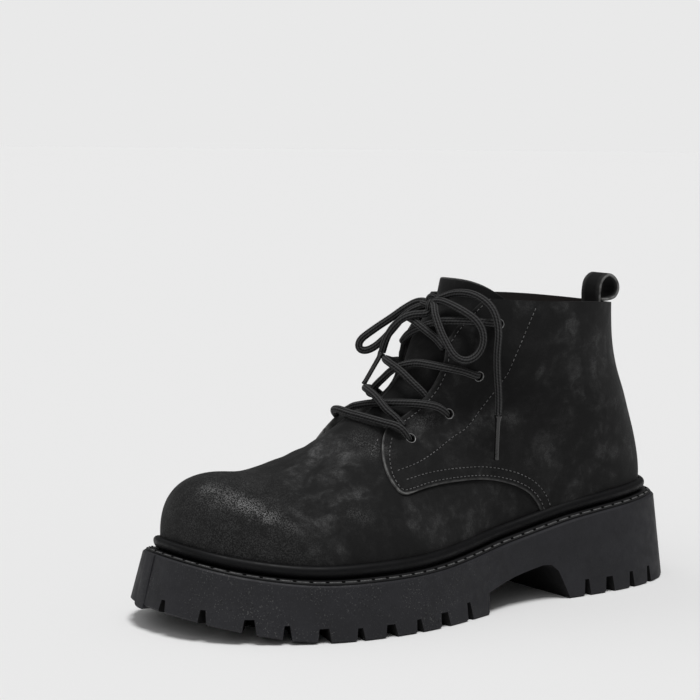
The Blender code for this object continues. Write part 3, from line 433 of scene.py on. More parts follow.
def add_light():
    world = bpy.data.worlds.new("studio")
    world.use_nodes = True
    nodes, links = world.node_tree.nodes, world.node_tree.links
    path, mix = nodes.new("ShaderNodeLightPath"), nodes.new("ShaderNodeMixShader")
    links.new(path.outputs["Is Camera Ray"], mix.inputs[0])
    light, seen = nodes["Background"], nodes.new("ShaderNodeBackground")
    for background, strength, socket in ((light, WORLD_LIGHT, 1), (seen, BACKDROP, 2)):
        background.inputs["Color"].default_value = (1.0, 1.0, 1.0, 1.0)
        background.inputs["Strength"].default_value = strength
        links.new(background.outputs[0], mix.inputs[socket])
    links.new(mix.outputs[0], nodes["World Output"].inputs["Surface"])
    bpy.context.scene.world = world
    for name, azimuth, height, strength, width in SUNS:
        data = bpy.data.lights.new(name, "SUN")
        data.energy, data.angle = strength, math.radians(width)
        across, up = math.radians(azimuth), math.radians(height)
        toward = Vector((math.cos(across) * math.cos(up), math.sin(across) * math.cos(up), math.sin(up)))
        new_object(name, data).rotation_euler = toward.to_track_quat("Z", "Y").to_euler()
    bpy.context.scene.view_settings.view_transform = "Standard"


def add_floor():
    mesh = bpy.data.meshes.new("floor")
    corners = [(x * FLOOR_REACH, y * FLOOR_REACH, 0) for x, y in ((-1, -1), (1, -1), (1, 1), (-1, 1))]
    mesh.from_pydata(corners, [], [(0, 1, 2, 3)])
    paint, shader = new_material("floor", (FLOOR_TONE,) * 3, 0.9)
    shader.inputs["Specular IOR Level"].default_value = 0.0
    mesh.materials.append(paint)
    new_object("floor", mesh)


# ---- materials ----

def new_material(name, colour, roughness):
    made = bpy.data.materials.new(name)
    made.use_nodes = True
    shader = made.node_tree.nodes["Principled BSDF"]
    shader.inputs["Base Color"].default_value = (*colour, 1.0)
    shader.inputs["Roughness"].default_value = roughness
    return made, shader


EVEN_SOCKETS = {"specular": "Specular IOR Level", "metallic": "Metallic", "sheen": "Sheen Weight",
                "sheen_roughness": "Sheen Roughness"}


class Looks:
    """Short names for a material's nodes. even holds the shader's values that don't vary over it."""

    def __init__(self, name, colour, roughness, **even):
        self.material, self.shader = new_material(name, colour, roughness)
        self.nodes, self.links = self.material.node_tree.nodes, self.material.node_tree.links
        self.place = self.nodes.new("ShaderNodeTexCoord").outputs["Object"]
        for key, value in even.items():
            self.shader.inputs[EVEN_SOCKETS[key]].default_value = value

    def feed(self, socket, value):
        if isinstance(value, (int, float)):
            socket.default_value = value
        elif isinstance(value, tuple):
            socket.default_value = (*value, 1.0)
        else:
            self.links.new(value, socket)

    def node(self, kind, inputs, **settings):
        made = self.nodes.new("ShaderNode" + kind)
        for key, value in settings.items():
            setattr(made, key, value)
        for key, value in inputs.items():
            self.feed(made.inputs[key], value)
        return made

    def noise(self, scale, detail=4.0, roughness=0.55, at=None, distortion=0.0):
        return self.node("TexNoise", {"Vector": at or self.place, "Scale": scale, "Detail": detail,
                                      "Roughness": roughness, "Distortion": distortion}).outputs["Fac"]

    def shifted(self, amount):
        node = self.node("VectorMath", {0: self.place})
        node.inputs[1].default_value = (amount,) * 3
        return node.outputs[0]

    def attribute(self, name):
        return self.node("Attribute", {}, attribute_name=name).outputs["Fac"]

    def parts(self, vector):
        return self.node("SeparateXYZ", {0: vector}).outputs

    def ramp(self, value, low, high, to_low=0.0, to_high=1.0):
        sockets = {"Value": value, "From Min": low, "From Max": high, "To Min": to_low, "To Max": to_high}
        return self.node("MapRange", sockets, interpolation_type="SMOOTHSTEP").outputs["Result"]

    def math(self, operation, a, b=0.0, c=0.0):
        return self.node("Math", {0: a, 1: b, 2: c}, operation=operation).outputs[0]

    def times(self, a, b):
        return self.math("MULTIPLY", a, b)

    def mix(self, share, a, b):
        return self.node("Mix", {0: share, 6: a, 7: b}, data_type="RGBA").outputs[2]

    def colour(self, value):
        self.feed(self.shader.inputs["Base Color"], value)

    def roughness(self, value):
        self.feed(self.shader.inputs["Roughness"], value)

    def bump(self, height, distance, strength=1.0):
        normal = self.shader.inputs["Normal"]
        node = self.node("Bump", {"Height": height, "Distance": distance, "Strength": strength})
        if normal.is_linked:
            self.feed(node.inputs["Normal"], normal.links[0].from_socket)
        self.feed(normal, node.outputs["Normal"])


def nubuck():
    """Brushed black leather: cloudy grey patches, rubbed bright on the toe with a painted highlight there,
    raw along its cut edges, with painted shade under the quarter's edge and round the eyelet holes.
    """
    m = Looks("nubuck", (0.012, 0.012, 0.012), 0.9, specular=0.22, sheen=0.05, sheen_roughness=0.4)
    black = (0.0060, 0.0060, 0.0061)
    cloud = m.ramp(m.noise(36, 3, 0.55, distortion=0.8), 0.44, 0.66, 0.15, 1.0)
    patch = m.ramp(m.noise(120, 5, 0.65, distortion=0.5), 0.42, 0.66, 0.25, 1.0)
    grain, nap = m.noise(1700, 3, 0.6), m.noise(460, 3, 0.7)
    tone = m.times(m.times(cloud, patch), m.math("MULTIPLY_ADD", m.attribute("mottle"), 0.85, 0.15))
    tone = m.times(tone, m.ramp(grain, 0.36, 0.62, 0.55, 1.15))
    base = m.mix(m.ramp(nap, 0.40, 0.72, 0.0, 0.45), m.mix(tone, black, (0.082, 0.082, 0.0825)), black)
    # lighter leather on the toe and in streaks: partly real rub, partly a painted highlight
    rub_and_highlight_mask = m.times(m.attribute("rub_and_highlight"), m.ramp(grain, 0.44, 0.60))
    rub_and_highlight_mask = m.times(rub_and_highlight_mask, m.ramp(m.noise(150, 3, 0.6), 0.30, 0.58, 0.25, 1.0))
    base = m.mix(rub_and_highlight_mask, base, (0.175, 0.175, 0.175))
    # painted shade: near black under the quarter's edge and round the eyelet holes
    base = m.mix(m.attribute("painted_shade"), base, (0.0025, 0.0025, 0.0025))
    fray = m.times(m.attribute("cut"), m.ramp(m.noise(260, 3), 0.30, 0.62, 0.35, 1.0))
    m.colour(m.mix(fray, base, (0.260, 0.260, 0.255)))
    m.roughness(m.ramp(rub_and_highlight_mask, 0.0, 1.0, 0.92, 0.66))
    m.bump(grain, 0.00009, 0.8)
    m.bump(nap, 0.00020, 0.5)
    return m.material


def rubber(name, tone, stipple, roughness=0.62, specular=0.30):
    """Moulded rubber with a fine stipple whose glints and pits are painted as light and dark points, with
    painted shade in its recesses.
    """
    def grey(share, blue):
        return tone * share, tone * share, tone * blue
    m = Looks(name, grey(1, 1.15), roughness, specular=specular)
    fine = m.noise(1500, 2, 0.5)
    clear = m.mix(m.ramp(m.noise(60, 4, 0.6), 0.35, 0.7), grey(0.88, 1.03), grey(1.12, 1.32))
    sown = m.times(m.ramp(m.noise(50, 3), 0.40, 0.60, 0.15 * stipple, stipple),
                   m.ramp(m.parts(m.place)[0], -0.030, 0.030, 0.15, 1.0))
    # painted glints: light points where the stipple would catch the light
    stipple_glints = m.times(m.ramp(m.noise(1250, 2, 0.6), 0.60, 0.68), sown)
    # painted shade: dark points in the stipple's pits
    pit_shade = m.times(m.ramp(m.noise(1100, 2, 0.6, at=m.shifted(3.7)), 0.62, 0.70), sown)
    base = m.mix(pit_shade, m.mix(stipple_glints, clear, grey(4, 4)), grey(0.3, 0.3))
    # painted shade: darker rubber in the sole's recesses and under the arch
    recess_shade = m.attribute("recess_shade")
    m.colour(m.mix(recess_shade, base, grey(0.22, 0.24)))
    worn = m.ramp(m.noise(180, 3), 0.3, 0.7, roughness - 0.06, roughness + 0.08)
    m.roughness(m.math("MULTIPLY_ADD", recess_shade, 0.30, worn))
    m.bump(fine, 0.00010 * stipple, 0.7)
    m.bump(m.noise(800, 2, 0.5), 0.00008 * stipple, 0.5)
    return m.material


def lining():
    m = Looks("lining", (0.016, 0.012, 0.011), 0.92, sheen=0.1, sheen_roughness=0.5)
    weave = m.noise(1100, 2, 0.5)
    m.colour(m.mix(weave, (0.010, 0.0075, 0.007), (0.026, 0.020, 0.018)))
    m.bump(weave, 0.00015, 0.8)
    return m.material


LACE_RIBS = 8               # lengthwise ribs round a lace
LACE_PITCH = 0.0016         # from one strand of the braid to the next, along the lace


def braid():
    """Round woven cord: soft ribs along it with a fine braid over them, from the tube's coordinates; its
    colour is painted dark in the grooves and light on the ribs, as shade and highlight.
    """
    m = Looks("lace", (0.014, 0.014, 0.0145), 0.85, specular=0.25, sheen=0.05, sheen_roughness=0.4)
    uv = m.parts(m.node("UVMap", {}).outputs["UV"])
    around = m.times(uv[1], 2 * math.pi * LACE_RIBS)
    along = m.times(uv[0], 2 * math.pi / LACE_PITCH)
    strands = m.math("SINE", m.math("ADD", along, m.times(around, 0.5)))
    height = m.math("MULTIPLY_ADD", strands, 0.35, m.math("SINE", around))
    fuzz = m.noise(1400, 3, 0.6)
    # painted shade in the braid's grooves and painted highlight on its ribs, from the same relief as the bump
    tone = m.times(m.ramp(height, -1.1, 1.1), m.ramp(fuzz, 0.3, 0.7, 0.6, 1.0))
    m.colour(m.mix(tone, (0.0020, 0.0020, 0.0020), (0.062, 0.062, 0.063)))
    m.bump(height, 0.00014, 0.9)
    m.bump(fuzz, 0.00008, 0.6)
    return m.material


def thread(name, tone):
    m = Looks(name, (tone, tone, tone), 0.75)
    m.colour(m.mix(m.ramp(m.noise(1500, 2), 0.35, 0.65), (tone * 0.5,) * 3, (tone * 1.5,) * 3))
    m.bump(m.noise(2000, 2), 0.00010, 0.8)
    return m.material


def plain(name, tone, roughness, **even):
    m = Looks(name, (tone, tone, tone), roughness, **even)
    m.colour(m.mix(m.noise(700, 3), (tone * 0.8,) * 3, (tone * 1.2,) * 3))
    m.bump(m.noise(1200, 2), 0.00004, 0.5)
    return m.material


# ---- mesh helpers ----

def grid_normals(points, faces):
    """Area-weighted normals at the points of a mesh."""
    normals = np.zeros_like(points)
    for face in faces:
        a, b, c, d = face if len(face) == 4 else (*face, face[-1])
        across = np.cross(points[c] - points[a], points[d] - points[b])
        for corner in face:
            normals[corner] += across
    return normals / np.maximum(np.linalg.norm(normals, axis=1), 1e-12)[:, None]


def place_piece(name, mesh, nodes, soft):
    """A mesh as a piece that rides on the shoe and stands for these CAD nodes."""
    mesh.shade_smooth()
    if soft < 180:
        mesh.set_sharp_from_angle(angle=math.radians(soft))
    piece = new_object(name, mesh)
    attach(piece, "root")
    if nodes:
        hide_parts(*nodes)
    return piece


def add_piece(name, points, faces, materials, nodes=(), attributes=None, slots=None, uv=None, soft=180):
    """One piece made from points in the drawing's frame."""
    mesh = bpy.data.meshes.new(name)
    mesh.from_pydata((np.asarray(points) - ORIGIN).tolist(), [], [tuple(int(i) for i in f) for f in faces])
    for paint in materials:
        mesh.materials.append(paint)
    if slots is not None:
        mesh.polygons.foreach_set("material_index", np.asarray(slots, dtype=np.int32))
    for key, values in (attributes or {}).items():
        layer = mesh.attributes.new(key, "FLOAT", "POINT")
        layer.data.foreach_set("value", np.asarray(values, dtype=np.float32))
    if uv is not None:
        layer = mesh.uv_layers.new(name="UVMap")
        layer.data.foreach_set("uv", np.asarray(uv, dtype=np.float32).ravel())
    return place_piece(name, mesh, nodes, soft)


def loft_faces(rings, size, closed=False, around=True):
    """Faces between rings of points. closed joins the last ring to the first, around each ring's ends."""
    faces = []
    for j in range(rings if closed else rings - 1):
        a, b = j * size, (j + 1) % rings * size
        faces += [(a + i, a + (i + 1) % size, b + (i + 1) % size, b + i)
                  for i in range(size if around else size - 1)]
    return faces


def rod_faces(rings, size):
    """Faces of a loft with flat ends."""
    last = (rings - 1) * size
    return loft_faces(rings, size) + [tuple(range(size))[::-1], tuple(range(last, last + size))]


def smooth_step(value, low, high):
    share = np.clip((np.asarray(value, float) - low) / (high - low), 0, 1)
    return share * share * (3 - 2 * share)


def tree_of(points, faces):
    return BVHTree.FromPolygons([Vector(p) for p in points], [tuple(map(int, f)) for f in faces])


BESIDE = 0.09               # a y outside the boot


def cast(tree, flat, side):
    """Places seen square from the side, as x and z, on the surface there."""
    hits = [tree.ray_cast(Vector((x, BESIDE * side, z)), Vector((0, -side, 0)))[0] for x, z in flat]
    return [hit for hit in hits if hit is not None]


def nearest(points):
    tree = KDTree(len(points))
    for i, point in enumerate(points):
        tree.insert(point, i)
    tree.balance()
    return tree


# ---- the upper's fine mesh ----

MESH_ROWS = np.concatenate([np.linspace(0, THROAT_ROW - 0.3, 84)[:-1],
                            np.linspace(THROAT_ROW - 0.3, COLLAR_ROW, 72)[:-1],
                            np.linspace(COLLAR_ROW, LAST_ROW, 62)])
MESH_RISES = np.linspace(0, 1, 60) ** 0.92
ROW_STEP = 0.012            # about the way from one row to the next at the throat's foot
HOLE_RADIUS = 0.0023
BEHIND_QUARTER = [(-0.058, 0.02), (-0.30, 0.02), (-0.30, 0.30), (0.020, 0.30), (0.020, 0.105)]
NORMAL, THROAT_GAP, QUARTER, HOLES = slice(3, 6), 6, 7, 8       # columns of the mesh's data after x, y, z


def throat_gap(row, distance):
    """How far outside the throat's edge a place is."""
    if row <= THROAT_ROW:
        return distance + (THROAT_ROW - row) * ROW_STEP
    return distance - throat_half_gap(row)


def inside(x, z, corners):
    """Which places lie in a polygon seen from the side."""
    odd = np.zeros(len(x), bool)
    for (ax, az), (bx, bz) in zip(corners, np.roll(corners, -1, axis=0)):
        crossed = (az > z) != (bz > z)
        odd ^= crossed & (x < (bx - ax) * (z - az) / (bz - az + 1e-12) + ax)
    return odd


def eyelet_places(side):
    return [SURFACE.place(row, side, distance) for row, distance in EYELETS]


def side_grid(side):
    """One side of the upper's outer face as columns of values, with its faces."""
    points, gaps = [], []
    for row in MESH_ROWS:
        points.append(SURFACE.points(row, side, MESH_RISES))
        way = travelled(points[-1])
        gaps += [throat_gap(row, distance)
                 for distance in way[-1] - way + np.interp(row, SURFACE.rows, SURFACE.away[side])]
    points = np.vstack(points)
    faces = loft_faces(len(MESH_ROWS), len(MESH_RISES), around=False)
    if side > 0:
        faces = [face[::-1] for face in faces]
    flat = smooth_line(np.array(QUARTER_EDGE) / 1000, 0.00015)
    near = nearest(cast(tree_of(points, faces), flat, side))
    away = np.array([near.find(Vector(point))[2] for point in points])
    corners = np.vstack([flat[::20], BEHIND_QUARTER])
    quarter = np.where(inside(points[:, 0], points[:, 2], corners), away, -away)
    holes = np.full(len(points), 1.0)
    for place, _ in eyelet_places(side):
        holes = np.minimum(holes, np.linalg.norm(points - place, axis=1) - HOLE_RADIUS)
    return np.column_stack([points, np.zeros_like(points), gaps, quarter, holes]), faces


def merged(data, faces):
    """The same mesh with points that coincide made one, and the faces that collapse dropped."""
    _, first, index = np.unique(np.round(data[:, :3], 7), axis=0, return_index=True, return_inverse=True)
    index = index.reshape(-1)
    kept = []
    for face in faces:
        corners = list(dict.fromkeys(int(index[i]) for i in face))
        if len(corners) > 2:
            kept.append(tuple(corners))
    return data[first], kept


def split(data, faces, field, level):
    """Cuts the faces where a column passes a level, so that the line there runs on edges."""
    values = data[:, field] - level
    above = (values > 0).tolist()
    added, index = [], {}

    def crossing(a, b):
        key = (a, b) if a < b else (b, a)
        if key not in index:
            share = values[key[0]] / (values[key[0]] - values[key[1]])
            index[key] = len(data) + len(added)
            added.append(data[key[0]] * (1 - share) + data[key[1]] * share)
        return index[key]

    kept = []
    for face in faces:
        signs = [above[i] for i in face]
        if all(signs) or not any(signs):
            kept.append(face)
            continue
        high, low = [], []
        for a, b, sign, following in zip(face, face[1:] + face[:1], signs, signs[1:] + signs[:1]):
            (high if sign else low).append(a)
            if sign != following:
                point = crossing(a, b)
                high.append(point)
                low.append(point)
        kept += [tuple(high), tuple(low)]
    return np.vstack([data] + added), kept


def without(data, faces, field):
    """Drops the faces where a column is negative, and the points that no face needs."""
    column = data[:, field]
    kept = [face for face in faces if sum(column[i] for i in face) / len(face) > 0]
    used = sorted({i for face in kept for i in face})
    index = {old: new for new, old in enumerate(used)}
    return data[used], [tuple(index[i] for i in face) for face in kept]


def open_edges(faces):
    seen = dict.fromkeys((a, b) for face in faces for a, b in zip(face, face[1:] + face[:1]))
    return [(a, b) for a, b in seen if (b, a) not in seen]


def both_sides(faces, count):
    """A sheet's faces, those of its other side, whose points come count later, and its edge's."""
    back = [tuple(count + i for i in reversed(face)) for face in faces]
    return faces + back + [(b, a, count + a, count + b) for a, b in open_edges(faces)]


FLAP = 0.0012               # how far the quarter stands proud of the vamp
FLAP_RINGS = (-0.0008, 0.0, 0.00010, 0.00022, 0.00055, 0.0012)
FLAP_LIFT = 0.0050          # how far the inner flap stands off beside the throat's foot
FLAP_LIFT_FROM, FLAP_LIFT_TO = (0.022, -0.016, 0.096), (0.040, -0.028, 0.073)
FLAP_LIFT_REACH = 0.0125
HOLLOW_X, HOLLOW_REACH, HOLLOW_DEPTH = 0.094, 0.017, 0.0022     # dip behind the toe cap
HOLE_RIM, HOLE_RIM_AT = 0.00035, 0.0006     # height of the swelling round a hole; its place and reach
THROAT_THINNED = 0.00045    # how much thinner the throat's edge is
TOE_RUB_AND_HIGHLIGHT = 0.14             # light rub and painted highlight all over the toe
RUB_AND_HIGHLIGHT_STREAKS = [
    # both ends (mm), reach (mm) and strength of the streaks of rub and painted highlight
    ((123, 6, 64.5), (112.5, 20.5, 60.3), 6.5, 0.75), ((113, 20, 60.5), (105, 28.7, 55.4), 5.5, 1.0),
    ((105, 28.7, 55.4), (96, 36, 50.5), 4.5, 0.34), ((108, 12, 66), (103, 10, 68.5), 4.0, 0.22),
    ((42, 11, 84.5), (38, 21, 79), 6.0, 0.30), ((13, 19, 90.5), (8, 20.5, 92.5), 3.5, 0.40),
    ((113, -24, 59), (104, -34, 52), 6.0, 0.60), ((67, 41, 54), (60, 42, 53), 4.0, 0.25),
]


def streak(points, start, end, reach):
    """1 on the line between two places, falling away to 0 beyond this reach."""
    start, way = np.array(start, float), np.array(end, float) - start
    share = np.clip((points - start) @ way / (way @ way), 0, 1)
    away = np.linalg.norm(points - start - share[..., None] * way, axis=-1)
    return np.exp(-(away / reach) ** 2)


def flap_lift(points):
    return FLAP_LIFT * streak(points, FLAP_LIFT_FROM, FLAP_LIFT_TO, FLAP_LIFT_REACH)


def proud(data):
    """Height of the finished face over the drawn one."""
    quarter = data[:, QUARTER]
    fade = 1 - smooth_step(quarter, 0.012, 0.050)
    rise = np.interp(quarter, [0.0, 0.00010, 0.00022, 0.00055, 0.0012], [0, 0.04, 0.86, 0.97, 1.0])
    under = np.interp(quarter, [0.0, 0.00010], [0.0, 1.0])
    groove = np.interp(quarter, [-0.0016, -0.0008, 0.0, 0.0001], [0, 0.00010, 0.00025, 0])
    return FLAP * rise * fade + flap_lift(data[:, :3]) * under - groove


CREASES = [
    # x, z, reach along the fold, half width, depth (mm), turn (degrees)
    (62, 66, 22, 4.5, 0.45, 62), (52, 70, 20, 4.0, 0.40, 66), (72, 60, 16, 5.0, 0.30, 55),
    (-70, 96, 26, 7.0, 0.7, 4), (-60, 80, 22, 7.0, 0.5, -12), (-100, 88, 20, 6.0, 0.5, 8),
    (-20, 74, 18, 5.0, 0.35, 20), (-52, 112, 18, 6.0, 0.45, -20),
]


def creases(points):
    """Soft troughs, and a ridge above each, across the flexing places."""
    depth = np.zeros(len(points))
    for x, z, reach, width, deep, turn in CREASES:
        along_x, along_z = math.cos(math.radians(turn)), math.sin(math.radians(turn))
        dx, dz = points[:, 0] * 1000 - x, points[:, 2] * 1000 - z
        along, across = dx * along_x + dz * along_z, dz * along_x - dx * along_z
        across = across + 1.2 * np.sin(along / 6.0 + x)
        fall = np.exp(-(along / reach) ** 2)
        depth += deep * fall * (0.55 * np.exp(-((across - 1.6 * width) / width) ** 2)
                                - np.exp(-(across / width) ** 2)) / 1000
    return depth


def undulation(points, scale, amount, seed):
    at = points * scale
    return np.array([noise.noise(Vector((p[0] + seed, p[1], p[2]))) for p in at]) * amount


def leather_marks(data):
    """How cut and mottled the leather is at each point, from 0 to 1, with its painted shade and its rub with
    painted highlight.
    """
    x, z, quarter = data[:, 0], data[:, 2], data[:, QUARTER]
    cut = np.interp(quarter, [-0.00005, 0.00008, 0.00014, 0.0004, 0.0007], [0, 0, 1, 0.75, 0])
    cut *= 0.40 + 0.60 * smooth_step(x, 0.024, 0.033) * (1 - smooth_step(z, 0.078, 0.088))
    throat_cut = np.interp(data[:, THROAT_GAP], [0, 0.0003, 0.0006], [0.12, 0.08, 0])
    # painted shade in the gap under the quarter's edge and on its wall
    painted_shade = np.interp(quarter, [-0.0022, -0.0007, 0.0, 0.0001, 0.00016], [0, 0.35, 1, 1, 0])
    # painted shade round the eyelet holes
    hole_painted_shade = np.interp(data[:, HOLES], [0, 0.0002, 0.0005], [1, 1, 0])
    # rub on the toe and in streaks: partly real rub, partly a painted highlight
    rub_and_highlight = TOE_RUB_AND_HIGHLIGHT * smooth_step(x, 0.076, 0.104)
    for start, end, reach, strength in RUB_AND_HIGHLIGHT_STREAKS:
        rub_and_highlight = np.maximum(rub_and_highlight, strength * streak(data[:, :3] * 1000, start, end, reach))
    vamp = np.exp(-((x - 0.064) / 0.024) ** 2) * smooth_step(z, 0.030, 0.062)
    mottle = np.where(quarter < 0, 0.36 + 0.84 * vamp, 0.44) * (1 - smooth_step(x, 0.085, 0.110))
    return {"cut": np.maximum(cut, throat_cut * (quarter > -0.002)), "painted_shade": np.maximum(painted_shade, hole_painted_shade),
            "rub_and_highlight": rub_and_highlight, "mottle": mottle}


def build_upper(leather, inside_cloth):
    outer, outer_faces = side_grid(1)
    inner, inner_faces = side_grid(-1)
    faces = outer_faces + [tuple(i + len(outer) for i in face) for face in inner_faces]
    data, faces = merged(np.vstack([outer, inner]), faces)
    data[:, NORMAL] = grid_normals(data[:, :3], faces)
    data, faces = split(data, faces, THROAT_GAP, 0.0)
    data, faces = without(data, faces, THROAT_GAP)
    for field, levels in ((QUARTER, FLAP_RINGS), (HOLES, (0.0, 0.0005))):
        for level in levels:
            data, faces = split(data, faces, field, level)
    data, faces = without(data, faces, HOLES)
    normals, base = unit(data[:, NORMAL]), data[:, :3]
    rim = HOLE_RIM * np.exp(-((data[:, HOLES] - HOLE_RIM_AT) / HOLE_RIM_AT) ** 2)
    hollow = (HOLLOW_DEPTH * np.exp(-((base[:, 0] - HOLLOW_X) / HOLLOW_REACH) ** 2)
              * smooth_step(base[:, 2], 0.044, 0.074))
    thinned = THROAT_THINNED * (1 - smooth_step(data[:, THROAT_GAP], 0, 0.0012)) ** 2
    height = proud(data) + creases(base) + undulation(base, 45, 0.00035, 3.0) + rim - hollow - thinned
    finished = base + normals * height[:, None]
    lining_face = base - normals * (WALL + hollow)[:, None]
    every = both_sides(faces, len(base))
    slots = [0] * len(faces) + [1] * len(faces) + [0] * (len(every) - 2 * len(faces))
    marks = {key: np.concatenate([values, values * 0]) for key, values in leather_marks(data).items()}
    add_piece("upper_leather", np.vstack([finished, lining_face]), every, [leather, inside_cloth],
              ["upper"], marks, slots, soft=50)
    return tree_of(finished, faces)


# ---- stitches ----

STITCH_REACH = 0.006        # farthest that a stitch is moved to lie on its surface


def stitch_rows(name, rows, tree, paint, slot, length, pitch, thickness, lift=0.0, between=False):
    """Short stitches, half sunk, along lines on a surface. Each row is a list of points.

    between sets them in the gaps of another call's stitches, as dark pieces of painted shade for the needle
    holes.
    """
    hexagon = np.array([(math.cos(a), math.sin(a)) for a in np.arange(6) * math.pi / 3])
    profile = [(-0.5, 0.25), (-0.36, 0.85), (0.0, 1.0), (0.36, 0.85), (0.5, 0.25)]
    points, faces = [], []
    for line in rows:
        spots = even_line(line, pitch)
        if between:
            spots = (spots[:-1] + spots[1:]) / 2
        for a, b in zip(spots[:-1], spots[1:]):
            heading = unit(b - a)
            place, normal, _, away = tree.find_nearest(Vector((a + b) / 2))
            if place is None or away > STITCH_REACH:
                continue
            normal = np.array(normal)
            side = unit(np.cross(normal, heading))
            faces += [tuple(len(points) + i for i in face) for face in rod_faces(len(profile), len(hexagon))]
            for along, wide in profile:
                sink = normal * (lift - thickness * (0.30 + 0.45 * (2 * along) ** 2))
                centre = np.array(place) + heading * along * length + sink
                points += [centre + thickness * wide * (side * c + normal * s) for c, s in hexagon]
    add_piece(name, points, faces, [paint])


def seam_on(tree, flat, side, sideways):
    """A seam given as x, z in millimetres, laid on the upper this far to its right."""
    line = smooth_line(np.array(flat) / 1000, 0.0008)
    along = unit(np.gradient(line, axis=0))
    return np.array(cast(tree, line + np.column_stack([along[:, 1], -along[:, 0]]) * sideways, side))


THROAT_TACK = [(34.6, 84.8), (38, 81.6), (42.4, 77.7)]     # x, z of the short row on the vamp by the throat
SEAMS = [
    # a line and how far to its right the stitches run
    (QUARTER_EDGE[3:-1], 0.0023), (QUARTER_EDGE[10:-1], 0.0064), (FACING_SEAM, 0.0), (THROAT_TACK, 0.0),
]
THROAT_SEAM_ROW, THROAT_SEAM_INSET = 8.15, 0.0026   # its first row, and how far it is from the facing's edge
SEAM_STITCH = (0.0018, 0.0025, 0.00023, 0.00005)    # length, pitch, half thickness, lift
# dark pieces between the seam's stitches: painted shade of the needle holes
NEEDLE_HOLE_SHADE = (0.0008, 0.0025, 0.00030, 0.00004)


def throat_seam(side):
    rows = np.linspace(THROAT_SEAM_ROW, SURFACE.collar_row(side, COLLAR_THROAT + THROAT_SEAM_INSET), 60)
    return np.array([SURFACE.place(row, side, throat_half_gap(row) + THROAT_SEAM_INSET)[0] for row in rows])


def stitch_upper(tree, paint, hole):
    for side, name in ((1, "outer"), (-1, "inner")):
        rows = [seam_on(tree, flat, side, sideways) for flat, sideways in SEAMS] + [throat_seam(side)]
        stitch_rows(f"stitches_{name}", rows, tree, paint, "nubuck", *SEAM_STITCH)
        # dark pieces between the stitches: painted shade of the needle holes
        stitch_rows(f"needle_holes_{name}", rows, tree, hole, "nubuck", *NEEDLE_HOLE_SHADE, True)


# ---- tongue ----

TONGUE_SINK = 0.0030        # how much deeper the tongue lies between the lower eyelets
TONGUE_SINK_AT = (0.016, 0.0, 0.109)
TONGUE_SINK_REACH = 0.022
TONGUE_BORDER = 0.00035     # how much thinner its border is


def build_tongue(leather):
    """The tongue's two faces with an edge between them."""
    distances = np.linspace(-TONGUE_HALF_WIDTH, TONGUE_HALF_WIDTH, 57)
    columns = []
    for signed in distances:
        side, distance = (1 if signed < 0 else -1), abs(signed)
        line = [SURFACE.points(row, side, [SURFACE.rise_at(row, side, distance)])[0]
                for row in np.linspace(TONGUE_ROW, SURFACE.collar_row(side, distance), 70)]
        above = TONGUE_TOP * (1 - 0.97 * (distance / TONGUE_HALF_WIDTH) ** 3.2)
        line += [line[-1] + np.array(TONGUE_LEAN) * above * share for share in np.linspace(0.12, 1, 8)]
        columns.append(line)
    grid = np.array(columns)
    size = grid.shape[1]
    free = smooth_step(np.arange(size), size - 30, size - 10)[None, :, None]
    for _ in range(60):     # rounds the tongue's free end
        grid[1:-1] += 0.25 * free * (grid[:-2] + grid[2:] - 2 * grid[1:-1])
    points = grid.reshape(-1, 3)
    faces = loft_faces(len(grid), size, around=False)
    normals = grid_normals(points, faces)
    away = np.linalg.norm(points - np.array(TONGUE_SINK_AT), axis=1)
    depth = WALL + TONGUE_CLEARANCE + TONGUE_SINK * np.exp(-(away / TONGUE_SINK_REACH) ** 2)
    across = np.repeat(np.abs(distances), size) / TONGUE_HALF_WIDTH
    border = smooth_step(across, 0.86, 0.90) * TONGUE_BORDER
    outer = points - normals * (depth + border - undulation(points, 60, 0.0005, 9.0))[:, None]
    inner = points - normals * (depth + TONGUE_THICKNESS - 0.0001)[:, None]
    cut = np.zeros(2 * len(points))
    cut[[a for a, _ in open_edges(faces)]] = 0.5
    add_piece("tongue_leather", np.vstack([outer, inner]), both_sides(faces, len(points)), [leather],
              ["tongue"], {"cut": cut}, soft=50)


# ---- laces ----

def circle(count, right, normal):
    """Points round a circle of radius 1 that starts at right and is square to a normal."""
    angles = np.arange(count) * 2 * math.pi / count
    return np.outer(np.cos(angles), right) + np.outer(np.sin(angles), np.cross(normal, right))


def sweep(route, radius, sides=18):
    """(points, faces, uv) of a round tube; uv runs in metres along it and once round."""
    along, way = unit(np.gradient(route, axis=0)), travelled(route)
    side = np.cross(along[0], (0.0, 0.0, 1.0))
    if np.linalg.norm(side) < 0.1:
        side = np.cross(along[0], (1.0, 0.0, 0.0))
    rings = []
    for point, heading, r in zip(route, along, np.broadcast_to(radius, len(route))):
        side = unit(side - heading * (side @ heading))
        rings.append(point + r * circle(sides, side, heading))
    uv = []
    for before, after in zip(way[:-1], way[1:]):
        for a, b in ((i / sides, (i + 1) / sides) for i in range(sides)):
            uv += [(before, a), (before, b), (after, b), (after, a)]
    uv += [(end, i / sides) for end in (0.0, way[-1]) for i in range(sides)]
    return np.vstack(rings), rod_faces(len(rings), sides), uv


def cord_route(corners, step=0.0011):
    return smooth_line(np.array(corners, float) / 1000, step)


def relaxed(route, rounds=12):
    """The route with its tightest bends opened, as a soft cord opens them by itself."""
    for _ in range(rounds):
        route = np.vstack([route[:1], 0.25 * (route[:-2] + 2 * route[1:-1] + route[2:]), route[-1:]])
    return route


def settled(route, seed, amount=0.00022):
    """The route with the small unevenness of a soft cord."""
    shift = np.array([[noise.noise(Vector((x * 90 + seed, y * 90, z * 90 + 7 * k))) for k in range(3)]
                      for x, y, z in route])
    fade = np.minimum(np.arange(len(route)), np.arange(len(route))[::-1])[:, None] / 6
    return route + shift * amount * np.clip(fade, 0, 1)


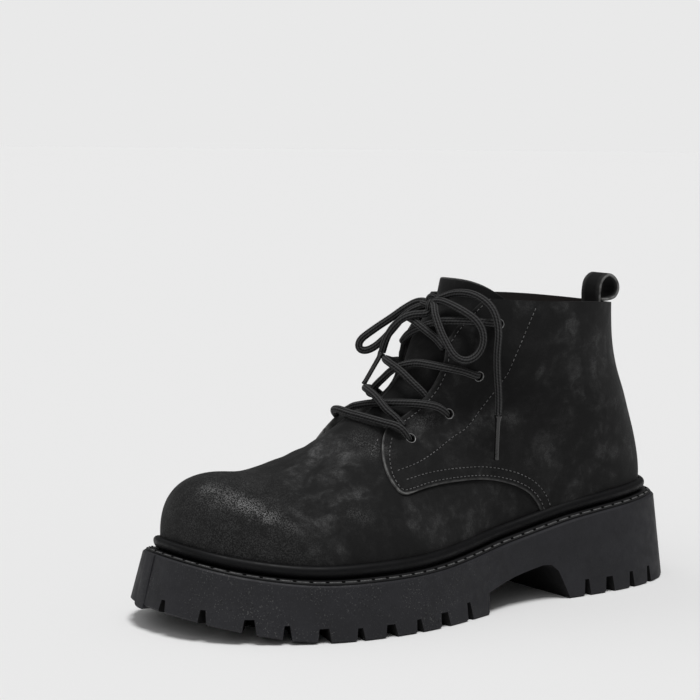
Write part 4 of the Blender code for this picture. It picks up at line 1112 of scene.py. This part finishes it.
BAR_1 = [
    # x, y, z in millimetres
    (26, 22, 90), (31, 15.5, 92.2), (35, 7, 93.8), (37.5, -2, 95), (38.5, -11, 95.8), (37, -17.5, 95),
    (33, -23, 92.5),
]
CROSSINGS = {
    # the strand that starts under the outer facing, and the one that starts under the inner facing
    2: ([(23, 15, 93.5), (25.5, 11, 97), (26, 4, 101.8), (25, -7, 105.5), (20, -15, 105), (10, -21.5, 102.5)],
        [(27.5, -15.5, 96), (26.5, -10.5, 97.4), (24.2, -2, 99.2), (20.8, 6, 100), (16.5, 12, 100.4),
         (11.5, 18, 100.4), (4.5, 22.5, 99.2)]),
    3: ([(6.2, 13.2, 105.2), (9, 11, 108.5), (13, 4, 115), (14, -6, 119), (9, -14, 119), (0, -21, 117),
         (-9, -26.5, 116)],
        [(15, -15, 105), (13.5, -10, 109.8), (11.2, -3, 115.4), (6.2, 6, 118.8), (3.2, 14, 118.8),
         (0, 20.8, 118), (-7.5, 26.3, 116.2)]),
    4: ([(-3.5, 12.5, 129.8), (-1.5, 4, 134.8), (-2.5, -6, 138), (-6, -17.5, 139.8), (-14, -27, 140.2)],
        [(-3, -13.5, 129.8), (-1.5, -7, 132.8), (-2.5, 1, 136), (-5, 10.5, 139.2), (-9, 20, 140.2),
         (-15.5, 28, 140.2)]),
}
KNOT_PLACE = (-6.5, 1, 147.5)
KNOT_SCALE, KNOT_LEAN, KNOT_SQUEEZE = 0.00125, 52, 0.86     # lean in degrees; squeeze thins its cord
BOW = {
    "lace_loop_inner": [
        (-6, -5.5, 148.5), (-1.5, -11, 145), (4, -17.5, 138.8), (12, -24, 131.5), (17, -27.5, 125.5),
        (16.5, -27, 122), (12.5, -24, 122.5), (8.5, -20, 126.5), (5, -15.5, 132.5), (2.5, -10.5, 139),
        (-1.6, -6, 144.2)],
    "lace_loop_outer": [
        (-4.8, 7.4, 146.6), (-1, 12.5, 144), (0, 18, 137), (-0.6, 23, 129.5), (-3, 26.5, 123.5),
        (-8, 29, 121), (-12.5, 31, 123.3), (-15.5, 33, 129.2), (-15.5, 33, 135.2), (-13, 31, 141),
        (-9.5, 24, 145.5), (-8, 16, 148), (-7, 8, 149.2)],
    "lace_end_inner": [
        (-4.2, 3.5, 142.2), (-0.5, 0.5, 142.6), (4.5, -4, 141), (8.5, -8.5, 136), (10, -12.5, 129.5),
        (10.5, -15, 122.6)],
    "lace_end_outer": [
        (-10.5, 6, 150.8), (-14, 14, 153.5), (-17.5, 25, 152.6), (-20.5, 34, 146.5), (-21.5, 37, 137),
        (-21.8, 36, 127), (-23, 34.8, 116), (-25, 34, 104), (-25.5, 33.4, 94.5)],
}
AGLETS = {
    # from the cord's end to the tip
    "aglet_inner": [(10.6, -15.1, 122.2), (18, -20, 106)],
    "aglet_outer": [(-25.5, 33.4, 94.1), (-24.7, 33.6, 71.8)],
}


def into_eyelet(number, side, source):
    """Points in millimetres that lead a lace from inside the boot up out of its hole towards source."""
    row, distance = EYELETS[number - 1]
    place, normal = SURFACE.place(row, side, distance)
    place = place + normal * flap_lift(place)
    toward = np.array(source) / 1000 - place
    toward = unit(toward - normal * (toward @ normal))
    return [tuple((place + normal * rise + toward * along) * 1000)
            for rise, along in ((-0.0042, 0.0003), (-0.0010, 0.0004), (0.0014, 0.0026))]


def tucked(route):
    """A route's start, led back under the facing that it comes out of."""
    back = unit(np.subtract(route[0], route[1])) * 4.5
    return [tuple(route[0] + back + (0, 0, -1.0))] + list(route)


def spread(over, under, heading, gap=0.0037, reach=0.009):
    """Lifts a route along a heading where it crosses another, so that it passes over."""
    apart = over[:, None, :] - under[None, :, :]
    flat = apart - (apart @ heading)[..., None] * heading
    i, j = np.unravel_index(np.argmin(np.linalg.norm(flat, axis=2)), apart.shape[:2])
    need = max(gap - float(apart[i, j] @ heading), 0.0)
    way = np.linalg.norm(over - over[i], axis=1)
    over += (need * np.exp(-(way / reach) ** 2))[:, None] * heading


def lace_piece(name, route, finish, nodes=()):
    points, faces, uv = sweep(route, LACE_DIAMETER / 2)
    return add_piece(name, points, faces, [finish], nodes, uv=uv)


def build_lacing(finish):
    bar = into_eyelet(1, 1, BAR_1[0]) + BAR_1 + into_eyelet(1, -1, BAR_1[-1])[::-1]
    lace_piece("lacing_bar_1", settled(cord_route(bar), 1), finish, ["lace_bar_1"])
    for number, (outer, inner) in CROSSINGS.items():
        near = cord_route(tucked(outer) + into_eyelet(number, -1, outer[-1])[::-1])
        far = cord_route(tucked(inner) + into_eyelet(number, 1, inner[-1])[::-1])
        spread(near, far, unit(np.array([0.80, 0.10, 0.59])))
        lace_piece(f"lacing_cross_{number}_near", settled(near, 2 + number), finish, [f"lace_cross_{number}"])
        lace_piece(f"lacing_cross_{number}_far", settled(far, 6 + number), finish)


def build_knot(finish):
    """A tight overhand knot, as a trefoil of cord."""
    t = np.linspace(0, 2 * math.pi, 90, endpoint=False)
    curve = np.column_stack([np.sin(t) + 2 * np.sin(2 * t), np.cos(t) - 2 * np.cos(2 * t),
                             -np.sin(3 * t) * 1.25])
    lean = np.array(Matrix.Rotation(math.radians(KNOT_LEAN), 3, "Y"))
    route = np.vstack([curve, curve[:2]]) * KNOT_SCALE @ lean.T + np.array(KNOT_PLACE) / 1000
    points, faces, uv = sweep(route, LACE_DIAMETER / 2 * KNOT_SQUEEZE, sides=14)
    return add_piece("bow_knot", points, faces, [finish], ["lace_knot"], uv=uv)


def build_aglet(name, finish):
    first, last = (np.array(end) / 1000 for end in AGLETS[name])
    share = np.array([0, 0.008, 0.05, 0.10, 0.16, 0.5, 0.90, 0.97, 0.99, 1.0])
    width = np.array([1.40, 1.50, 1.42, 1.15, 0.96, 0.90, 0.90, 1.02, 0.98, 0.60]) * 0.0013
    points, faces, uv = sweep(first + np.outer(share, last - first), width, sides=20)
    return add_piece(f"{name}_sheath", points, faces, [finish], [name])


def into_knot(end):
    """A point between a strand's end and the middle of the knot that it comes out of."""
    return tuple(KNOT_PLACE[i] + 0.3 * (end[i] - KNOT_PLACE[i]) for i in range(3))


def build_bow(finish, sheath):
    knot = build_knot(finish)
    for i, (name, corners) in enumerate(BOW.items()):
        loop = name.startswith("lace_loop")
        back = [into_knot(corners[-1])] if loop else []
        route = settled(relaxed(cord_route([into_knot(corners[0])] + corners + back)), 20 + i)
        piece = lace_piece(name.replace("lace_", "bow_"), route, finish, [name])
        if loop:
            carried = [knot] if name.endswith("outer") else []
        else:
            carried = [build_aglet(name.replace("lace_end", "aglet"), sheath)]


# ---- eyelets and pull loop ----

RIM = [
    # radius and height of an eyelet's section
    (0.00222, -0.0006), (0.00225, 0.00010), (0.00238, 0.00026), (0.00255, 0.00024), (0.00268, 0.00008),
    (0.0027, -0.0003),
]
RIM_SIDES = 28


def build_eyelets(tree, finish):
    """A low rolled rim round each hole."""
    for side, name in ((1, "outer"), (-1, "inner")):
        for number, (place, normal) in enumerate(eyelet_places(side), start=1):
            found = tree.find_nearest(Vector(place + normal * 0.004))[0]
            lift = max(float((np.array(found) - place) @ normal), 0.0)
            right = unit(np.cross(normal, (0.0, 0.0, 1.0)))
            rings = [place + normal * (lift + up) + circle(RIM_SIDES, right, normal) * radius
                     for radius, up in RIM]
            add_piece(f"rim_{number}_{name}", np.vstack(rings), loft_faces(len(RIM), RIM_SIDES), [finish],
                      [f"eyelet_{number}_{name}"])


PULL_LOOP = [
    # x, z of the strap's middle
    (-0.1133, 0.1290), (-0.1133, 0.1380), (-0.1133, 0.1455), (-0.1133, 0.1505), (-0.1148, 0.1560),
    (-0.1196, 0.1590), (-0.1245, 0.1562), (-0.1262, 0.1515), (-0.1242, 0.1478), (-0.1200, 0.1464),
    (-0.1148, 0.1462),
]
STRAP_HALF_WIDTH, STRAP_HALF = 0.0070, 0.0008       # the second is half its thickness


def build_pull_loop(leather):
    middle = smooth_line(PULL_LOOP, 0.0009)
    along = unit(np.gradient(middle, axis=0))
    upper_half = [(-1, 0.55), (-0.965, 1), (-0.5, 1), (0, 1), (0.5, 1), (0.965, 1), (1, 0.55)]
    section = upper_half + [(-wide, -up) for wide, up in upper_half]
    points = [(x - up * STRAP_HALF * dz, wide * STRAP_HALF_WIDTH, z + up * STRAP_HALF * dx)
              for (x, z), (dx, dz) in zip(middle, along) for wide, up in section]
    cut = np.interp(np.abs([wide for wide, _ in section]), [0.5, 0.965, 1], [0, 0.15, 0.8])
    add_piece("heel_strap", points, rod_faces(len(middle), len(section)), [leather], ["pull_loop"],
              {"cut": np.tile(cut, len(middle))})


# ---- sole ----

HOOP_PLACES = 260           # samples on each side of welt and rand


def hoop(name, profile, finish, node):
    places = sample_places(HOOP_PLACES)
    rings = [ring(places, inset, above_edge=height) for inset, height in profile]
    faces = loft_faces(len(rings), len(places), closed=True)
    add_piece(name, np.vstack(rings), faces, [finish], [node], soft=40)


WELT = [
    # inset, height above the sole's edge
    (0.0016, 0.0002), (0.0016, 0.0008), (0.0019, 0.0011), (0.0026, 0.0012), (0.0032, 0.0012),
    (0.0040, 0.0013), (0.0050, 0.0016), (0.0147, 0.0016), (0.0147, 0.0002),
]
WELT_TOP = 7                # how many of these points make its upper side
WELT_STITCH_INSET = 0.0027
WELT_STITCH = (0.0066, 0.0077, 0.00062)     # a stitch's length, the way from one to the next, half thickness
RAND = (0.0077, 0.0050, 0.0028, 0.0030)     # inset and height of the roll's middle, its half width and height
RAND_LEAN = 0.0004          # how far its lower half draws in


def rand_profile():
    inset, height, half_width, half_height = RAND
    return [(inset - half_width * math.cos(a) ** 0.8 + RAND_LEAN * max(0.25 - math.sin(a), 0),
             height + half_height * math.sin(a)) for a in np.linspace(-math.pi / 2, math.pi / 2, 19)]


SIDE_DEPTH = 0.0075         # from the sole's top edge in to where its side can't reach
SIDE_HEIGHT = 0.027         # what the side's flare is spread over
BROKEN_EDGE = 0.00045


def wall_normals(mesh):
    """Corner normals of the sole, and painted shade: 1 at each corner in a recess, else 0.

    The normals are those of the true, unfaceted side on that side, and the mesh's own elsewhere.
    """
    near = nearest(np.column_stack([EDGE, np.zeros(FINE)]))
    slope = WALL_FLARE / SIDE_HEIGHT
    corners, recess_shade = [Vector(c.vector) for c in mesh.corner_normals], np.zeros(len(mesh.loops))
    for face in mesh.polygons:
        if face.normal.z > 0.5:
            continue
        for loop in face.loop_indices:
            place = mesh.vertices[mesh.loops[loop].vertex_index].co + Vector(ORIGIN)
            _, i, away = near.find((place.x, place.y, 0.0))
            outward = Vector((*OUTWARD[i], slope)).normalized()
            along_wall = face.normal.dot(outward)
            # painted shade on faces inside the sole, away from its side
            recess_shade[loop] = 1.0 if away > SIDE_DEPTH or along_wall < 0.5 else 0.0
            if away < SIDE_DEPTH and along_wall > 0.97:
                corners[loop] = outward
    return corners, recess_shade


def build_outsole(tread):
    """The drawn sole with its edges broken and its side smooth."""
    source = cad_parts["outsole"]
    shape = bmesh.new()
    shape.from_mesh(source.data)
    shape.transform(source.matrix_world)
    bmesh.ops.remove_doubles(shape, verts=shape.verts, dist=0.00001)
    bmesh.ops.dissolve_limit(shape, angle_limit=math.radians(0.8), verts=shape.verts, edges=shape.edges)
    sharp = [e for e in shape.edges if len(e.link_faces) == 2 and e.calc_face_angle(0.0) > math.radians(35)]
    bmesh.ops.bevel(shape, geom=sharp, offset=BROKEN_EDGE, segments=2, profile=0.5, affect="EDGES",
                    clamp_overlap=True)
    bmesh.ops.triangulate(shape, faces=shape.faces)
    mesh = bpy.data.meshes.new("outsole_rubber")
    shape.to_mesh(mesh)
    shape.free()
    mesh.materials.append(tread)
    place_piece("outsole_rubber", mesh, ["outsole"], 32)
    normals, recess_shade = wall_normals(mesh)
    mesh.normals_split_custom_set(normals)
    mesh.attributes.new("recess_shade", "FLOAT", "CORNER").data.foreach_set("value", recess_shade.astype(np.float32))


TOE_TAB = (-0.0165, -0.0080)        # y of the moulded tab's edges at the tip of the toe
TOE_TAB_PROUD = 0.0006
TOE_TAB_DROP = 0.0017               # how far it reaches below the sole's bottom


def build_toe_tab(tread):
    tip = np.arange(TIP - 120, TIP + 120)
    ends = [float(np.interp(-y, -EDGE[tip, 1], tip)) for y in TOE_TAB[::-1]]
    places = np.linspace(*ends, 13)
    x = ring(places, 0.0, height=0.0)[:, 0]
    lift, edge, outer = toe_lift(x), edge_height(x), -flare(places)
    at_ends = np.abs(np.linspace(-1, 1, 13)) ** 6
    bottom = lift - TOE_TAB_DROP * (1 - 0.9 * at_ends)
    section = [(0.0030, edge - 0.0005), (-TOE_TAB_PROUD * 0.3, edge - 0.0004)]
    section += [(outer * share - TOE_TAB_PROUD * (1 - 0.5 * at_ends), edge + (lift - edge) * share)
                for share in np.linspace(0.06, 0.94, 9)]
    section += [(outer - TOE_TAB_PROUD, bottom + 0.0006), (outer - TOE_TAB_PROUD + 0.0006, bottom),
                (outer + 0.0045, bottom), (outer + 0.0050, lift + 0.0010)]
    rings, size = len(section), len(places)
    points = np.vstack([ring(places, inset, height=height) for inset, height in section])
    faces = loft_faces(rings, size, closed=True, around=False)
    faces += [tuple(range(0, rings * size, size)), tuple(range(size - 1, rings * size, size))[::-1]]
    add_piece("toe_tab", points, faces, [tread], soft=40)


def build_sole(tread, edge, roll, thread_paint, hole_shade_paint):
    hoop("welt_strip", WELT, edge, "welt")
    hoop("rand_roll", rand_profile(), roll, "rand")
    places = sample_places(400)
    line = ring(places, WELT_STITCH_INSET, above_edge=0.0012)
    line = np.vstack([line, line[:1]])
    top = np.vstack([ring(places, inset, above_edge=height) for inset, height in WELT[:WELT_TOP]])
    tree = tree_of(top, loft_faces(WELT_TOP, len(places)))
    length, pitch, thickness = WELT_STITCH
    stitch_rows("welt_stitches", [line], tree, thread_paint, "welt_rubber", length, pitch, thickness, 0.0005)
    # dark pieces between the welt's stitches: painted shade of their holes
    stitch_rows("welt_hole_shades", [line], tree, hole_shade_paint, "welt_rubber", pitch - length + 0.0004, pitch,
                0.00075, 0.0003, True)
    build_outsole(tread)
    build_toe_tab(tread)


# ---- assembly ----

SURFACE = Upper()
add_camera()
add_light()
add_floor()
LEATHER, CLOTH, CORD, THREAD = nubuck(), lining(), braid(), thread("thread", 0.11)
SHEATH = plain("aglet", 0.010, 0.14, specular=0.6)
METAL = plain("eyelet", 0.24, 0.32, metallic=0.5)
# near-black paint for the painted shade of the needle holes and welt holes
HOLE_SHADE = plain("needle_hole_shade", 0.002, 0.9, specular=0.1)
build_bow(CORD, SHEATH)
build_lacing(CORD)
UPPER_TREE = build_upper(LEATHER, CLOTH)
build_tongue(LEATHER)
build_eyelets(UPPER_TREE, METAL)
build_pull_loop(LEATHER)
stitch_upper(UPPER_TREE, THREAD, HOLE_SHADE)
build_sole(rubber("sole", 0.0172, 1.0), rubber("welt", 0.005, 0.5), rubber("rand", 0.0030, 0.15, 0.52, 0.18),
           thread("welt_thread", 0.090), HOLE_SHADE)
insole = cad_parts["insole"]
insole.data.materials.clear()
insole.data.materials.append(CLOTH)
